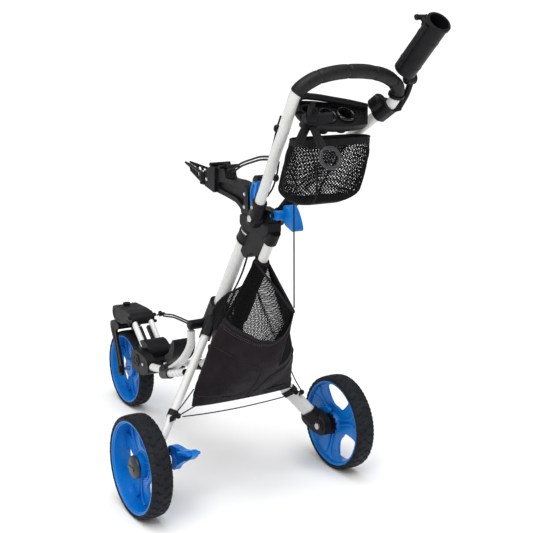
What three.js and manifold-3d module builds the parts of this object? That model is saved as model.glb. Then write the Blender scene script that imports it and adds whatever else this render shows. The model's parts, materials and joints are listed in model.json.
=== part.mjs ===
// Three-wheel golf push trolley with a folding front wheel and a folding handle.
// Millimetres, +Z up, +Y is the direction of travel, +X the right-hand side.
// Shapes are placed with the rear axle at Y = 0 and the ground at Z = 0; the last lines centre the whole.
import * as THREE from "three";
import { mergeVertices } from "three/addons/utils/BufferGeometryUtils.js";
import Module from "manifold-3d";

const wasm = await Module();
wasm.setup();

// ---------------------------------------------------------------- driving dimensions
const TRACK = 600;
const WHEELBASE = 698;
const REAR = { radius: 130, width: 56, rim: 117, hub: 30 };
const FRONT = { radius: 119, width: 50, rim: 106, hub: 24 };
const GAP = 0.4;

const HUB = point(0, 163, 437);
const TOP = point(0, -4, 711);
const LINK_LOW = point(0, 54, 437);
const LINK_HIGH = point(0, -112, 709);
const HANDLE_AXIS = point(0, -88, 748);
const FOLD_AXIS = point(0, 522, 208);
const SWIVEL_Y = 727;

const MAIN_TUBE = { wide: 30, deep: 40, wall: 1.6 };
const LEG = { thick: 22, wide: 40, wall: 1.6 };
const LEG_TOP = point(24, 153.4, 408.6);
const LEG_END = point(245, 28, 137.5);
const LEG_FACE = point(0.747, 0.569, 0.346);

const LINK_R = 12.5;
const SIDE_TUBE_R = 11;
const HANDLE_R = 12.5;
const TUBE_WALL = 1.5;
const GRIP_R = 17.5;
const ARM_R = 8.5;
const ARM_X = 27;

const STRUT = { low: point(68, 319, 230), high: point(99, 146, 294.5), radius: 10.5 };
const ARM_LOW = point(ARM_X, 548, 237);
const ARM_HIGH = point(ARM_X, 630, 305);
const PEDAL_AXIS = { y: -2, z: 158 };
const UPPER_LEVER_AXIS = { y: -34, z: 757 };
const LOWER_LEVER_AXIS = { y: -132, z: 760 };
const WING_AXIS = { x: 22, y: 198 };
const HANDLE_STEPS = 44;
const TYRE_FACETS = 28;
const PAWL_AXIS = { y: 38, z: 157 };
const CUP_ARM = { from: point(-88, -352, 1002), to: point(-97, -386, 1014) };
const CONSOLE = { tilt: 0.62, y: -338, z: 1004 };

const PIVOT = { y: -404, z: 1098 };
const UMBRELLA = { low: point(123, -424, 1117), high: point(123, -526, 1222), outer: 25, inner: 21.5 };

// ---------------------------------------------------------------- colours
const WHITE = finish(0xf2f2ee, 0.35, 0.1);
const BLACK = finish(0x17171a, 0.55, 0);
const RUBBER = finish(0x1b1a1a, 0.85, 0);
const BLUE = finish(0x0a55c0, 0.4, 0);
const FABRIC = finish(0x1f1b22, 0.9, 0);
const FOAM = finish(0x19181a, 0.8, 0);
const STEEL = finish(0xb9bbbd, 0.3, 1);
const CAP = finish(0x2d2e30, 0.6, 0);

function finish(color, roughness, metalness) {
  return new THREE.MeshStandardMaterial({ color, roughness, metalness });
}

function point(x, y, z) {
  return new THREE.Vector3(x, y, z);
}

// The same place on the left (side -1) or right (side 1).
function onSide(side, p) {
  return point(side * p.x, p.y, p.z);
}

// ---------------------------------------------------------------- solids
function solid(geometry) {
  const bare = geometry.clone();
  for (const name of Object.keys(bare.attributes)) {
    if (name !== "position") bare.deleteAttribute(name);
  }
  const merged = mergeVertices(bare, 1e-4);
  return new wasm.Manifold(
    new wasm.Mesh({
      numProp: 3,
      vertProperties: new Float32Array(merged.attributes.position.array),
      triVerts: new Uint32Array(merged.index.array),
    }),
  );
}

function geometryOf(body) {
  const mesh = body.getMesh();
  const made = new THREE.BufferGeometry();
  made.setAttribute("position", new THREE.BufferAttribute(mesh.vertProperties, 3));
  made.setIndex(new THREE.BufferAttribute(mesh.triVerts, 1));
  return made;
}

function join(...shapes) {
  return geometryOf(shapes.map(solid).reduce((all, next) => all.add(next)));
}

function cut(shape, ...tools) {
  return geometryOf(tools.map(solid).reduce((rest, tool) => rest.subtract(tool), solid(shape)));
}

// ---------------------------------------------------------------- shape helpers
// Turns a shape built along +Z so that it runs from a towards b, with its +Y kept close to up.
function aim(geometry, a, b, up = point(0, 0, 1)) {
  const z = b.clone().sub(a).normalize();
  const x = new THREE.Vector3().crossVectors(up, z).normalize();
  const y = new THREE.Vector3().crossVectors(z, x);
  geometry.applyMatrix4(new THREE.Matrix4().makeBasis(x, y, z).setPosition(a));
  return geometry;
}

// A round bar between two points; it may taper.
function rod(a, b, radius, sides = 10, radiusB = radius) {
  const made = new THREE.CylinderGeometry(radiusB, radius, a.distanceTo(b), sides);
  made.rotateX(Math.PI / 2).translate(0, 0, a.distanceTo(b) / 2);
  const up = Math.abs(b.z - a.z) > 0.9 * a.distanceTo(b) ? point(0, 1, 0) : point(0, 0, 1);
  return aim(made, a, b, up);
}

function xRod(x0, x1, y, z, radius, sides = 12) {
  return rod(point(x0, y, z), point(x1, y, z), radius, sides);
}

// A bar of rectangular or oval section between two points; its depth lies along the direction up.
function bar(a, b, wide, deep, up, corner = 0) {
  if (!corner) {
    const plain = new THREE.BoxGeometry(wide, deep, a.distanceTo(b)).translate(0, 0, a.distanceTo(b) / 2);
    return aim(plain, a, b, up);
  }
  const made = new THREE.ExtrudeGeometry(roundedBox(wide, deep, corner), {
    depth: a.distanceTo(b),
    bevelEnabled: false,
    curveSegments: 1,
  });
  return aim(made, a, b, up);
}

function roundedBox(wide, deep, corner) {
  const w = wide / 2;
  const d = deep / 2;
  const r = Math.min(corner, w, d);
  const shape = new THREE.Shape();
  shape.moveTo(-w + r, -d);
  shape.lineTo(w - r, -d);
  shape.absarc(w - r, -d + r, r, -Math.PI / 2, 0);
  shape.lineTo(w, d - r);
  shape.absarc(w - r, d - r, r, 0, Math.PI / 2);
  shape.lineTo(-w + r, d);
  shape.absarc(-w + r, d - r, r, Math.PI / 2, Math.PI);
  shape.lineTo(-w, -d + r);
  shape.absarc(-w + r, -d + r, r, Math.PI, 1.5 * Math.PI);
  return shape;
}

function ellipse(a, b, hole = 0) {
  const shape = new THREE.Shape();
  shape.absellipse(0, 0, a, b, 0, 2 * Math.PI);
  if (hole) {
    const path = new THREE.Path();
    path.absellipse(0, 0, a - hole, b - hole, 0, 2 * Math.PI);
    shape.holes.push(path);
  }
  return shape;
}

// A tube through points; wall 0 makes it solid.
// Sides is half the number of faces round it.
function tube(points, radius, wall, steps, sides = 5) {
  const curve = new THREE.CatmullRomCurve3(points, false, "centripetal");
  return new THREE.ExtrudeGeometry(ellipse(radius, radius, wall), {
    extrudePath: curve,
    steps,
    curveSegments: sides,
  });
}

function straightTube(a, b, radius, wall, sides = 6) {
  const made = new THREE.ExtrudeGeometry(ellipse(radius, radius, wall), {
    depth: a.distanceTo(b),
    bevelEnabled: false,
    curveSegments: sides,
  });
  return aim(made, a, b, point(0, 1, 0.2));
}

function box(x0, x1, y0, y1, z0, z1) {
  const made = new THREE.BoxGeometry(x1 - x0, y1 - y0, z1 - z0);
  return made.translate((x0 + x1) / 2, (y0 + y1) / 2, (z0 + z1) / 2);
}

// A side outline in the YZ plane, extruded across X.
function plate(outline, x0, x1, curveSegments = 4) {
  const made = new THREE.ExtrudeGeometry(outline, { depth: x1 - x0, bevelEnabled: false, curveSegments });
  const turn = new THREE.Matrix4().makeBasis(point(0, 1, 0), point(0, 0, 1), point(1, 0, 0));
  return made.applyMatrix4(turn).translate(x0, 0, 0);
}

function outline(points) {
  const shape = new THREE.Shape();
  points.forEach(([y, z], i) => (i ? shape.lineTo(y, z) : shape.moveTo(y, z)));
  shape.closePath();
  return shape;
}

// A smooth closed side outline through points.
function smoothOutline(points, divisions = 18) {
  const curve = new THREE.CatmullRomCurve3(points.map(([y, z]) => point(y, z, 0)), true, "centripetal");
  return new THREE.Shape(curve.getPoints(divisions).slice(0, -1).map((p) => new THREE.Vector2(p.x, p.y)));
}

// A closed outline of [distance along X, radius] pairs turned about the X axis through (x, y, z).
function turned(profile, x, y, z, segments) {
  const points = profile.map(([along, r]) => new THREE.Vector2(r, along));
  if (THREE.ShapeUtils.area(points) < 0) points.reverse();
  const onAxis = points[0].x === 0;
  if (!onAxis) points.push(points[0].clone());
  const made = new THREE.LatheGeometry(points, segments, Math.PI / segments);
  return made.rotateZ(-Math.PI / 2).translate(x, y, z);
}

function lerp(a, b, t) {
  return a.clone().lerp(b, t);
}

// The point a distance beyond a, on the line to b.
function along(a, b, distance) {
  return a.clone().add(b.clone().sub(a).setLength(distance));
}

// ---------------------------------------------------------------- the model's tree
const trolley = new THREE.Group();
const model = new THREE.Group();
trolley.add(model);

function addMesh(name, geometry, material) {
  const made = new THREE.Mesh(geometry, material);
  made.name = name;
  model.add(made);
  return made;
}

// ---------------------------------------------------------------- main tube, hub and rear link
function mainTube() {
  const shape = ellipse(MAIN_TUBE.wide / 2, MAIN_TUBE.deep / 2, MAIN_TUBE.wall);
  const start = along(HUB, TOP, 3);
  const made = new THREE.ExtrudeGeometry(shape, {
    depth: start.distanceTo(TOP) - 6,
    bevelEnabled: false,
    curveSegments: 8,
  });
  return aim(made, start, TOP, point(0, 1, 0));
}

// The hub that the main tube, the legs and the two side tubes meet in, with the bracket for the rear link.
function hubSleeve() {
  const up = point(0, 1, 0);
  const shell = bar(along(HUB, TOP, -34), along(HUB, TOP, 42), 46, 54, up, 14);
  const shoulders = xRod(-60, 60, 197, 405, 13);
  const bridge = plate(outline([[150, 392], [200, 393], [206, 415], [170, 440]]), -20, 14);
  const lugs = [-1, 1].map((s) => {
    const low = onSide(s, point(44, 142, 384));
    return bar(onSide(s, point(14, 160, 424)), low, LEG.thick + 9, LEG.wide + 8, wideway(s), 5);
  });
  const arm = plate(outline([[150, 410], [150, 436], [74, 452], [40, 440], [40, 414], [70, 404]]), -12, 12);
  const seat = bar(along(LINK_LOW, LINK_HIGH, -20), along(LINK_LOW, LINK_HIGH, 34), 34, 34, up, 14);
  const bore = bar(along(HUB, TOP, 0), along(HUB, TOP, 60), MAIN_TUBE.wide + 1, MAIN_TUBE.deep + 1, up, 14);
  const linkBore = rod(along(LINK_LOW, LINK_HIGH, -GAP), along(LINK_LOW, LINK_HIGH, 60), LINK_R + GAP, 16);
  const sockets = [-1, 1].map((s) => legBar(s, -GAP, LEG.thick + 0.8, LEG.wide + 0.8));
  return cut(join(shell, shoulders, bridge, arm, seat, ...lugs), bore, linkBore, ...sockets);
}

function down(side) {
  return onSide(side, LEG_END).sub(onSide(side, LEG_TOP)).normalize();
}

// The direction of a leg's wider side.
function wideway(side) {
  return onSide(side, LEG_FACE).cross(down(side));
}

// A bar along a leg, starting a distance past its top.
function legBar(side, from, thick, wide, corner = 4) {
  const a = onSide(side, LEG_TOP);
  const b = onSide(side, LEG_END);
  return bar(along(a, b, from), b, thick, wide, wideway(side), corner);
}

function leg(side) {
  const a = onSide(side, LEG_TOP);
  const b = onSide(side, LEG_END);
  const thick = LEG.thick - 2 * LEG.wall;
  const inner = bar(along(a, b, -5), along(b, a, -5), thick, LEG.wide - 2 * LEG.wall, wideway(side), 4);
  return cut(legBar(side, 0, LEG.thick, LEG.wide, 6), inner);
}

function rearLink() {
  return straightTube(LINK_LOW, along(LINK_HIGH, LINK_LOW, 14), LINK_R, TUBE_WALL);
}

// ---------------------------------------------------------------- upper joint
function topSleeve() {
  const up = point(0, 1, 0);
  const a = along(TOP, HUB, 52);
  const b = along(TOP, HUB, 22);
  const bore = bar(along(a, HUB, 40), along(b, TOP, 30), MAIN_TUBE.wide + 0.8, MAIN_TUBE.deep + 0.8, up, 14);
  return cut(join(bar(a, b, 37, 48, up, 17), box(-8, 8, -8, 16, 640, 662)), bore);
}

// The fixed yoke: a cap on the main tube, a rib back to the rear link and the cross pin's boss.
function jointYoke() {
  const rib = outline(
    [
      [15, 712], [15, 738.4], [-22, 738.4], [-26, 756], [-60, 768], [-96, 764], [-116, 742],
      [-118, 712], [-98, 700], [-60, 706], [-20, 700],
    ],
  );
  const boss = xRod(-24, 24, HANDLE_AXIS.y, HANDLE_AXIS.z, 17, 16);
  const cap = bar(along(TOP, HUB, 14), along(TOP, HUB, -18), 36, 46, point(0, 1, 0), 16);
  const seat = bar(
    along(LINK_HIGH, LINK_LOW, 26), along(LINK_HIGH, LINK_LOW, -8), 33, 33, point(0, 1, 0), 14,
  );
  const up = point(0, 1, 0);
  const bore = bar(
    along(TOP, HUB, 30), along(TOP, HUB, 2), MAIN_TUBE.wide + 0.8, MAIN_TUBE.deep + 0.8, up, 14,
  );
  const linkBore = rod(along(LINK_HIGH, LINK_LOW, 60), along(LINK_HIGH, LINK_LOW, 13), LINK_R + GAP, 16);
  const pinBore = xRod(-60, 60, HANDLE_AXIS.y, HANDLE_AXIS.z, 6.4);
  const upperSlot = box(-14, 14, -46, -10, 744, 790);
  const lowerSlot = box(-16, 16, -160, -112, 736, 780);
  const flat = box(-30, 30, -22, 30, 738.4, 780);
  const ear = outline(
    [[-96, 738], [-96, 762], [-108, 771], [-132, 771], [-142, 760], [-132, 749], [-112, 738]],
  );
  const ears = [plate(ear, -22.4, -16), plate(ear, 16, 22.4)];
  const leverBore = xRod(-30, 30, LOWER_LEVER_AXIS.y, LOWER_LEVER_AXIS.z, 4.4, 10);
  const body = join(plate(rib, -19, 19), boss, cap, seat, ...ears);
  return cut(body, bore, linkBore, pinBore, upperSlot, lowerSlot, flat, leverBore);
}

function jointPin() {
  const shank = xRod(-50, 50, HANDLE_AXIS.y, HANDLE_AXIS.z, 6);
  const heads = [-1, 1].map((s) => xRod(s * 50, s * 55, HANDLE_AXIS.y, HANDLE_AXIS.z, 9.5, 6));
  return join(shank, ...heads);
}

// A clamping lever that stands up in front of the cross pin.
function upperLever() {
  const blade = outline(
    [[-25, 762], [-22, 800], [-32, 826], [-44, 842], [-56, 838], [-52, 812], [-43, 786], [-43, 762]],
  );
  return join(plate(blade, -13, 13), xRod(-13, 13, UPPER_LEVER_AXIS.y, UPPER_LEVER_AXIS.z, 9));
}

// The release lever behind the cross pin: a neck between the yoke's ears and a paddle to one side of
// the net's cord.
function lowerLever() {
  const neck = outline([[-120, 756], [-122, 768], [-132, 771], [-156, 772], [-156, 752], [-132, 750]]);
  const paddle = smoothOutline(
    [[-146, 774], [-152, 786], [-166, 778], [-188, 744], [-190, 730], [-174, 734], [-154, 742]],
  );
  return join(
    plate(neck, -15, 15), plate(paddle, 4, 34),
    xRod(-22, 22, LOWER_LEVER_AXIS.y, LOWER_LEVER_AXIS.z, 4, 10),
  );
}

// The arm that carries the bag's neck: it stands on the yoke and ends in a block with the two wings' hinges.
function cradleArm() {
  const side = outline([
    [-21, 738.8], [12, 738.8], [14, 750], [37, 762], [85, 768], [135, 772], [190, 784], [190, 816],
    [157, 834], [98, 838],
    [92, 814], [39, 816], [-8, 811], [-19, 796],
  ]);
  const block = plate(outline([[135, 770], [193, 782], [193, 818], [157, 837], [135, 838]]), -24, 24);
  const hooks = [[104, 842], [150, 842]].map(
    ([y, z]) => join(xRod(-30, 30, y, z, 5, 8), box(-5, 5, y - 4, y + 4, z - 20, z)),
  );
  const wingCut = [-1, 1].map(
    (s) => rod(point(s * WING_AXIS.x, WING_AXIS.y, 740), point(s * WING_AXIS.x, WING_AXIS.y, 860), 9.5, 14),
  );
  return cut(join(plate(side, -17, 17), block, ...hooks), ...wingCut);
}

// One ribbed wing of the cradle, hinged on an upright pin beside the block.
function cradleWing(side) {
  const hinge = rod(
    point(side * WING_AXIS.x, WING_AXIS.y, 784), point(side * WING_AXIS.x, WING_AXIS.y, 816), 9, 12,
  );
  const low = [point(side * 23, 203, 789), point(side * 9, 290, 806)];
  const high = [point(side * 23, 203, 811), point(side * 9, 300, 820)];
  const rails = [low, high].map(([a, b]) => bar(a, b, 7, 6, point(0, 0, 1)));
  const ribs = [0.15, 0.42, 0.69, 0.94].map(
    (t) => bar(lerp(...low, t), lerp(...high, t), 6, 8, point(0, 1, 0)),
  );
  const prong = rod(point(side * 10, 286, 816), point(side * 7, 328, 822), 5, 8, 2.4);
  return join(hinge, ...rails, ...ribs, prong);
}

// The curved tube on each side, from the hub's shoulder down and forward to the fold housing.
function sideRoute(side) {
  const route = [
    [56, 197, 388], [52, 204, 352], [50, 240, 304], [50, 290, 262], [50, 344, 230], [50, 410, 214],
    [50, 476, 203],
  ];
  return route.map(([x, y, z]) => point(side * x, y, z));
}

function sideTube(side) {
  return tube(sideRoute(side), SIDE_TUBE_R, TUBE_WALL, 11);
}

// The straight strut that runs out and up beside each side tube.
function sideStrut(side) {
  return straightTube(onSide(side, STRUT.low), onSide(side, STRUT.high), STRUT.radius, TUBE_WALL, 5);
}

function sideBracket(side) {
  const collar = rod(onSide(side, point(50, 324, 237)), onSide(side, point(50, 372, 222)), 15.5, 12);
  const clamp = rod(onSide(side, point(63, 346, 221)), onSide(side, point(75, 278, 245.4)), 14.5, 12);
  const strutCut = rod(
    onSide(side, along(STRUT.low, STRUT.high, -0.5)), onSide(side, along(STRUT.low, STRUT.high, 90)),
    STRUT.radius + GAP, 12,
  );
  return cut(join(collar, clamp), sideTubeCut(side), strutCut);
}

function sideTubeCut(side) {
  return tube(sideRoute(side), SIDE_TUBE_R + GAP, 0, 11);
}

// The housing at the front ends of the side tubes: it holds the fold pin and an arm with a rest for the
// bag's foot.
function frontHousing() {
  const cheek = smoothOutline(
    [[446, 196], [456, 226], [500, 236], [548, 232], [560, 208], [548, 178], [512, 170], [462, 180]], 14,
  );
  const cheeks = [-1, 1].map((s) => plate(cheek, s > 0 ? 36 : -64, s > 0 ? 64 : -36));
  const bridge = box(-40, 40, 450, 478, 184, 222);
  const pin = xRod(-66, 66, FOLD_AXIS.y, FOLD_AXIS.z, 7);
  const arm = bar(point(0, 470, 200), point(0, 372, 252), 30, 14, point(0, 0, 1));
  const pad = smoothOutline(
    [[384, 238], [352, 262], [338, 300], [346, 316], [360, 300], [372, 272], [396, 254]], 14,
  );
  return cut(join(...cheeks, bridge, pin, arm, plate(pad, -22, 22)), sideTubeCut(-1), sideTubeCut(1));
}

function frontArm(side) {
  return straightTube(onSide(side, ARM_LOW), onSide(side, ARM_HIGH), ARM_R, TUBE_WALL, 5);
}

// The folding knuckle: a sleeve on the fold pin, sockets for the two arms, and the web between them.
function frontKnuckle() {
  const side = smoothOutline(
    [[500, 200], [494, 236], [512, 254], [548, 258], [566, 240], [552, 206], [534, 184], [512, 184]],
  );
  const body = plate(side, -35, 35);
  const web = bar(point(0, 540, 226), point(0, 604, 279), 36, 12, point(0, -0.6, 0.8), 2);
  const lighten = bar(point(0, 572, 236), point(0, 598, 289), 18, 60, point(0, -0.6, 0.8), 2);
  const arms = [-1, 1].map(
    (s) => rod(onSide(s, along(ARM_LOW, ARM_HIGH, -GAP)), onSide(s, ARM_HIGH), ARM_R + GAP, 12),
  );
  const pin = xRod(-70, 70, FOLD_AXIS.y, FOLD_AXIS.z, 7.5);
  return cut(join(body, web), lighten, ...arms, pin);
}

// The head over the front wheel: it takes the arms behind and the fork's stem below.
function casterHead() {
  const side = outline(
    [
      [748, 316], [752, 290], [738, 272], [686, 270], [650, 284], [612, 282], [606, 304], [622, 318],
      [660, 320],
    ],
  );
  const body = plate(side, -38, 38);
  const hollow = box(-30, 30, 654, 690, 262, 309);
  const hooks = [-1, 1].map((s) =>
    join(xRod(s * 36, s * 47, 618, 308, 6, 12), xRod(s * 36, s * 47, 612, 290, 5, 12)));
  const arms = [-1, 1].map(
    (s) => rod(onSide(s, ARM_LOW), onSide(s, along(ARM_LOW, ARM_HIGH, 107.5)), ARM_R + GAP, 12),
  );
  const stem = rod(point(0, SWIVEL_Y, 255), point(0, SWIVEL_Y, 303.5), 9.5, 16);
  const lock = box(-7.5, 7.5, SWIVEL_Y - 8, SWIVEL_Y + 8, 306, 330);
  return cut(join(body, ...hooks), hollow, ...arms, stem, lock);
}

function swivelLock() {
  const button = new THREE.CylinderGeometry(7, 7, 13, 20).rotateX(Math.PI / 2).translate(0, SWIVEL_Y, 314);
  const head = new THREE.CylinderGeometry(11, 12, 5, 20).rotateX(Math.PI / 2).translate(0, SWIVEL_Y, 321.4);
  return join(button, head);
}

// ---------------------------------------------------------------- fork and wheels
function fork() {
  const bladeSide = smoothOutline(
    [[714, 262], [744, 268], [768, 256], [766, 236], [742, 196], [720, 140], [712, 108],
     [700, 98], [686, 104],
     [684, 126], [700, 166], [722, 214], [728, 240], [712, 248]], 24);
  const blades = [-1, 1].map((s) => plate(bladeSide, s > 0 ? 30 : -38, s > 0 ? 38 : -30));
  const crown = plate(
    outline([[706, 246], [706, 262], [722, 267], [752, 266], [766, 256], [760, 245]]), -38, 38,
  );
  const stem = rod(point(0, SWIVEL_Y, 250), point(0, SWIVEL_Y, 303), 9, 14);
  const bore = xRod(-60, 60, WHEELBASE, FRONT.radius, 5.4);
  return cut(join(crown, ...blades, stem), bore);
}

function frontAxle() {
  const shank = xRod(-38.5, 38.5, WHEELBASE, FRONT.radius, 5);
  const heads = [-1, 1].map((s) => xRod(s * 38.5, s * 44, WHEELBASE, FRONT.radius, 10, 12));
  return join(shank, ...heads);
}

// A tyre as a closed ring about X, wide and slightly crowned; one facet lies flat on the ground.
function tyre(size, place) {
  const w = size.width / 2;
  const r = size.radius / Math.cos(Math.PI / TYRE_FACETS);
  const profile = [
    [-w + 3, size.rim + GAP], [w - 3, size.rim + GAP], [w, size.rim + 5], [w - 1, r - 7], [w - 7, r - 2],
    [w * 0.3, r], [-w * 0.3, r], [-w + 7, r - 2], [-w + 1, r - 7], [-w, size.rim + 5],
  ];
  return turned(profile, place.x, place.y, place.z, TYRE_FACETS);
}

// A dished rim with three wide spokes; its dish opens to the side face (-1 left, 1 right).
function rim(size, place, face) {
  const w = size.width / 2 - 2;
  const r = size.rim;
  const barrel = [[-w, r - 7], [-w, r], [w, r], [w, r - 7], [w - 10, r - 10], [-w + 10, r - 10]];
  const dish = [
    [-12 * face, 0], [-12 * face, size.hub + 14], [-18 * face, r - 6], [-10 * face, r - 6],
    [-2 * face, size.hub + 14], [-2 * face, 0],
  ];
  const hub = [
    [-w * face, 0], [-w * face, size.hub - 4], [(w - 14) * face, size.hub - 3], [(w - 14) * face, 0],
  ];
  const windows = [0, 1, 2].map((i) => rimWindow(size).rotateX(((100 + 120 * i) * Math.PI) / 180));
  const bore = xRod(-60, 60, 0, 0, 6.6, 12);
  const disc = cut(turned(dish, 0, 0, 0, 18), ...windows);
  const whole = join(turned(barrel, 0, 0, 0, 28), disc, turned(hub, 0, 0, 0, 10));
  return cut(whole, bore).translate(place.x, place.y, place.z);
}

// One of the three openings between the spokes.
function rimWindow(size) {
  const half = 0.5;
  const shape = new THREE.Shape();
  shape.absarc(0, 0, size.rim - 17, -half, half, false);
  shape.absarc(0, 0, size.hub + 18, half * 0.72, -half * 0.72, true);
  shape.closePath();
  return plate(shape, -40, 40, 3);
}

function hubCap(side, place) {
  const w = REAR.width / 2;
  const profile = [
    [(w - 15) * side, 0], [(w - 15) * side, 26], [(w - 11) * side, 29], [(w - 4) * side, 24],
    [(w - 2) * side, 0],
  ];
  return turned(profile, place.x, place.y, place.z, 20);
}

// The toothed ring on a wheel's inner side that the brake pawl drops into.
function brakeRing(side, place) {
  const shape = new THREE.Shape();
  const teeth = 12;
  for (let i = 0; i < teeth; i++) {
    const step = (2 * Math.PI) / teeth;
    [[-0.36, 25], [-0.2, 30], [0.2, 30], [0.36, 25]].forEach(([t, r], k) => {
      const turn = (i + 0.5 + t) * step;
      const move = i || k ? "lineTo" : "moveTo";
      shape[move](r * Math.cos(turn), r * Math.sin(turn));
    });
  }
  shape.closePath();
  const hole = new THREE.Path();
  hole.absarc(0, 0, 8, 0, 2 * Math.PI);
  shape.holes.push(hole);
  const face = TRACK / 2 - REAR.width / 2 + 1.5;
  const x0 = side > 0 ? face - 6 : -face;
  return plate(shape, x0, x0 + 6).translate(0, place.y, place.z);
}

// The bracket at a leg's foot: it holds the stub axle, with the pedal's pin on the left and the pawl's
// on the right.
function axleBracket(side) {
  const shape = smoothOutline(
    [
      [-22, 112], [-26, 140], [-8, 158], [26, 164], [66, 158], [88, 140], [86, 118], [60, 108],
      [20, 102], [-6, 104],
    ],
    16,
  );
  const slab = plate(shape, side > 0 ? 236 : -258, side > 0 ? 258 : -236);
  const boss = xRod(side * 234, side * 264, 0, REAR.radius, 17);
  const bolts = [[62, 138], [28, 148]].map(([y, z]) => xRod(side * 230, side * 240, y, z, 6.5, 6));
  const socket = legBar(side, -GAP, LEG.thick + 0.8, LEG.wide + 0.8);
  const end = onSide(side, LEG_END);
  const sleeve = bar(along(end, onSide(side, LEG_TOP), 34), end, LEG.thick + 8, LEG.wide + 8, wideway(side));
  const bore = xRod(side * 200, side * 300, 0, REAR.radius, 6.4);
  const pedalPin = xRod(-240, -198, PEDAL_AXIS.y, PEDAL_AXIS.z, 5, 10);
  const pawlPin = xRod(250, 269, PAWL_AXIS.y, PAWL_AXIS.z, 3.5, 10);
  const extra = side < 0 ? [pedalPin] : [pawlPin];
  return cut(join(slab, boss, sleeve, ...bolts, ...extra), socket, bore);
}

function rearAxle(side) {
  const shank = xRod(side * 230, side * (TRACK / 2 + 10), 0, REAR.radius, 6);
  const head = xRod(side * 226, side * 231, 0, REAR.radius, 10, 6);
  return join(shank, head);
}

// A foot pedal that turns on a pin behind the left wheel's bracket.
function brakePedal() {
  const side = smoothOutline(
    [
      [4, 148], [8, 160], [-2, 169], [-30, 176], [-70, 180], [-112, 196], [-124, 192], [-108, 172],
      [-76, 154], [-40, 128], [-26, 112], [-16, 114], [-12, 140],
    ],
  );
  const tread = bar(point(-214, -62, 172), point(-214, -118, 190), 36, 8, point(0, 0.3, 0.95));
  const hole = xRod(-260, -180, PEDAL_AXIS.y, PEDAL_AXIS.z, 5.4, 10);
  return cut(join(plate(side, -221, -203), tread), hole);
}

// The pawl over the right wheel's toothed ring: its nose drops between two teeth.
function brakePawl() {
  const arm = outline(
    [[44, 150], [47, 162], [38, 168], [4, 178], [-8, 174], [-5, 166], [16, 164], [32, 150]],
  );
  const nose = box(261.5, 271, -2, 2, 161.5, 170);
  return cut(join(plate(arm, 261.5, 271), nose), xRod(250, 280, PAWL_AXIS.y, PAWL_AXIS.z, 3.9, 10));
}

function legClip(side) {
  const at = along(onSide(side, LEG_END), onSide(side, LEG_TOP), 104);
  const to = along(onSide(side, LEG_END), onSide(side, LEG_TOP), 120);
  const middle = lerp(at, to, 0.5);
  const nub = rod(middle, middle.clone().add(point(0, -34, 8)), 6, 8);
  const band = bar(at, to, LEG.thick + 7, LEG.wide + 7, wideway(side));
  return cut(join(band, nub), legBar(side, -GAP, LEG.thick + 0.8, LEG.wide + 0.8));
}

// The brake's cable, from one leg's clip to the other's.
function brakeCable() {
  const end = along(LEG_END, LEG_TOP, 112).add(point(-12, -34, 4));
  const route = [-1, -0.6, 0, 0.6, 1].map((t) => point(end.x * t, end.y, end.z - 7 * (1 - t * t)));
  return tube(route, 1.6, 0, 12, 4);
}

// ---------------------------------------------------------------- storage bag
const BAG = {
  left: 147, low: 253, lowY: 17, front: point(0, 112, 440), rear: point(0, -212, 541),
  peak: point(0, -56, 634),
};

// A ring of the bag at a share t of its height: across the trolley at the bottom, along it at the rim.
function bagRing(t, inset, count = 20) {
  const ring = [];
  for (let i = 0; i < count; i++) {
    const turn = (2 * Math.PI * i) / count;
    const c = Math.cos(turn);
    const s = Math.sin(turn);
    const low = point(s * (BAG.left - inset), BAG.lowY + c * (14 - inset), BAG.low);
    const end = c > 0 ? BAG.front : BAG.rear;
    const share = Math.abs(c) ** 1.4;
    const high = point(s * (17 - inset), 0, 0);
    high.y = BAG.peak.y + (end.y - BAG.peak.y) * share * (1 - inset / 120);
    high.z = BAG.peak.z + (end.z - BAG.peak.z) * share;
    const p = low.lerp(high, t);
    p.x *= 1 + 0.25 * Math.sin(Math.PI * t);
    p.y += (c > 0 ? 8 : -34) * Math.abs(c) * Math.sin(Math.PI * t);
    ring.push(p);
  }
  return ring;
}

// A closed body skinned over rings of points, capped at both ends.
function skin(rings) {
  const count = rings[0].length;
  const places = [];
  rings.forEach((ring) => ring.forEach((p) => places.push(p.x, p.y, p.z)));
  const faces = [];
  for (let k = 0; k + 1 < rings.length; k++) {
    for (let i = 0; i < count; i++) {
      const a = k * count + i;
      const b = k * count + ((i + 1) % count);
      faces.push(a, b, a + count, b, b + count, a + count);
    }
  }
  [0, rings.length - 1].forEach((k) => {
    const centre = rings[k].reduce((sum, p) => sum.add(p), point(0, 0, 0)).divideScalar(count);
    const index = places.length / 3;
    places.push(centre.x, centre.y, centre.z);
    for (let i = 0; i < count; i++) {
      const a = k * count + i;
      const b = k * count + ((i + 1) % count);
      faces.push(...(k ? [a, b, index] : [b, a, index]));
    }
  });
  const made = new THREE.BufferGeometry();
  made.setAttribute("position", new THREE.BufferAttribute(new Float32Array(places), 3));
  made.setIndex(faces);
  return made;
}

// Turns a skinned body right side out if its rings ran the other way round.
function outward(geometry) {
  const index = geometry.index.array;
  const p = geometry.attributes.position.array;
  let volume = 0;
  for (let i = 0; i < index.length; i += 3) {
    const [a, b, c] = [0, 1, 2].map((k) => new THREE.Vector3().fromArray(p, index[i + k] * 3));
    volume += a.dot(b.cross(c));
  }
  if (volume < 0) {
    for (let i = 0; i < index.length; i += 3) [index[i], index[i + 1]] = [index[i + 1], index[i]];
  }
  return geometry;
}

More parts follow.
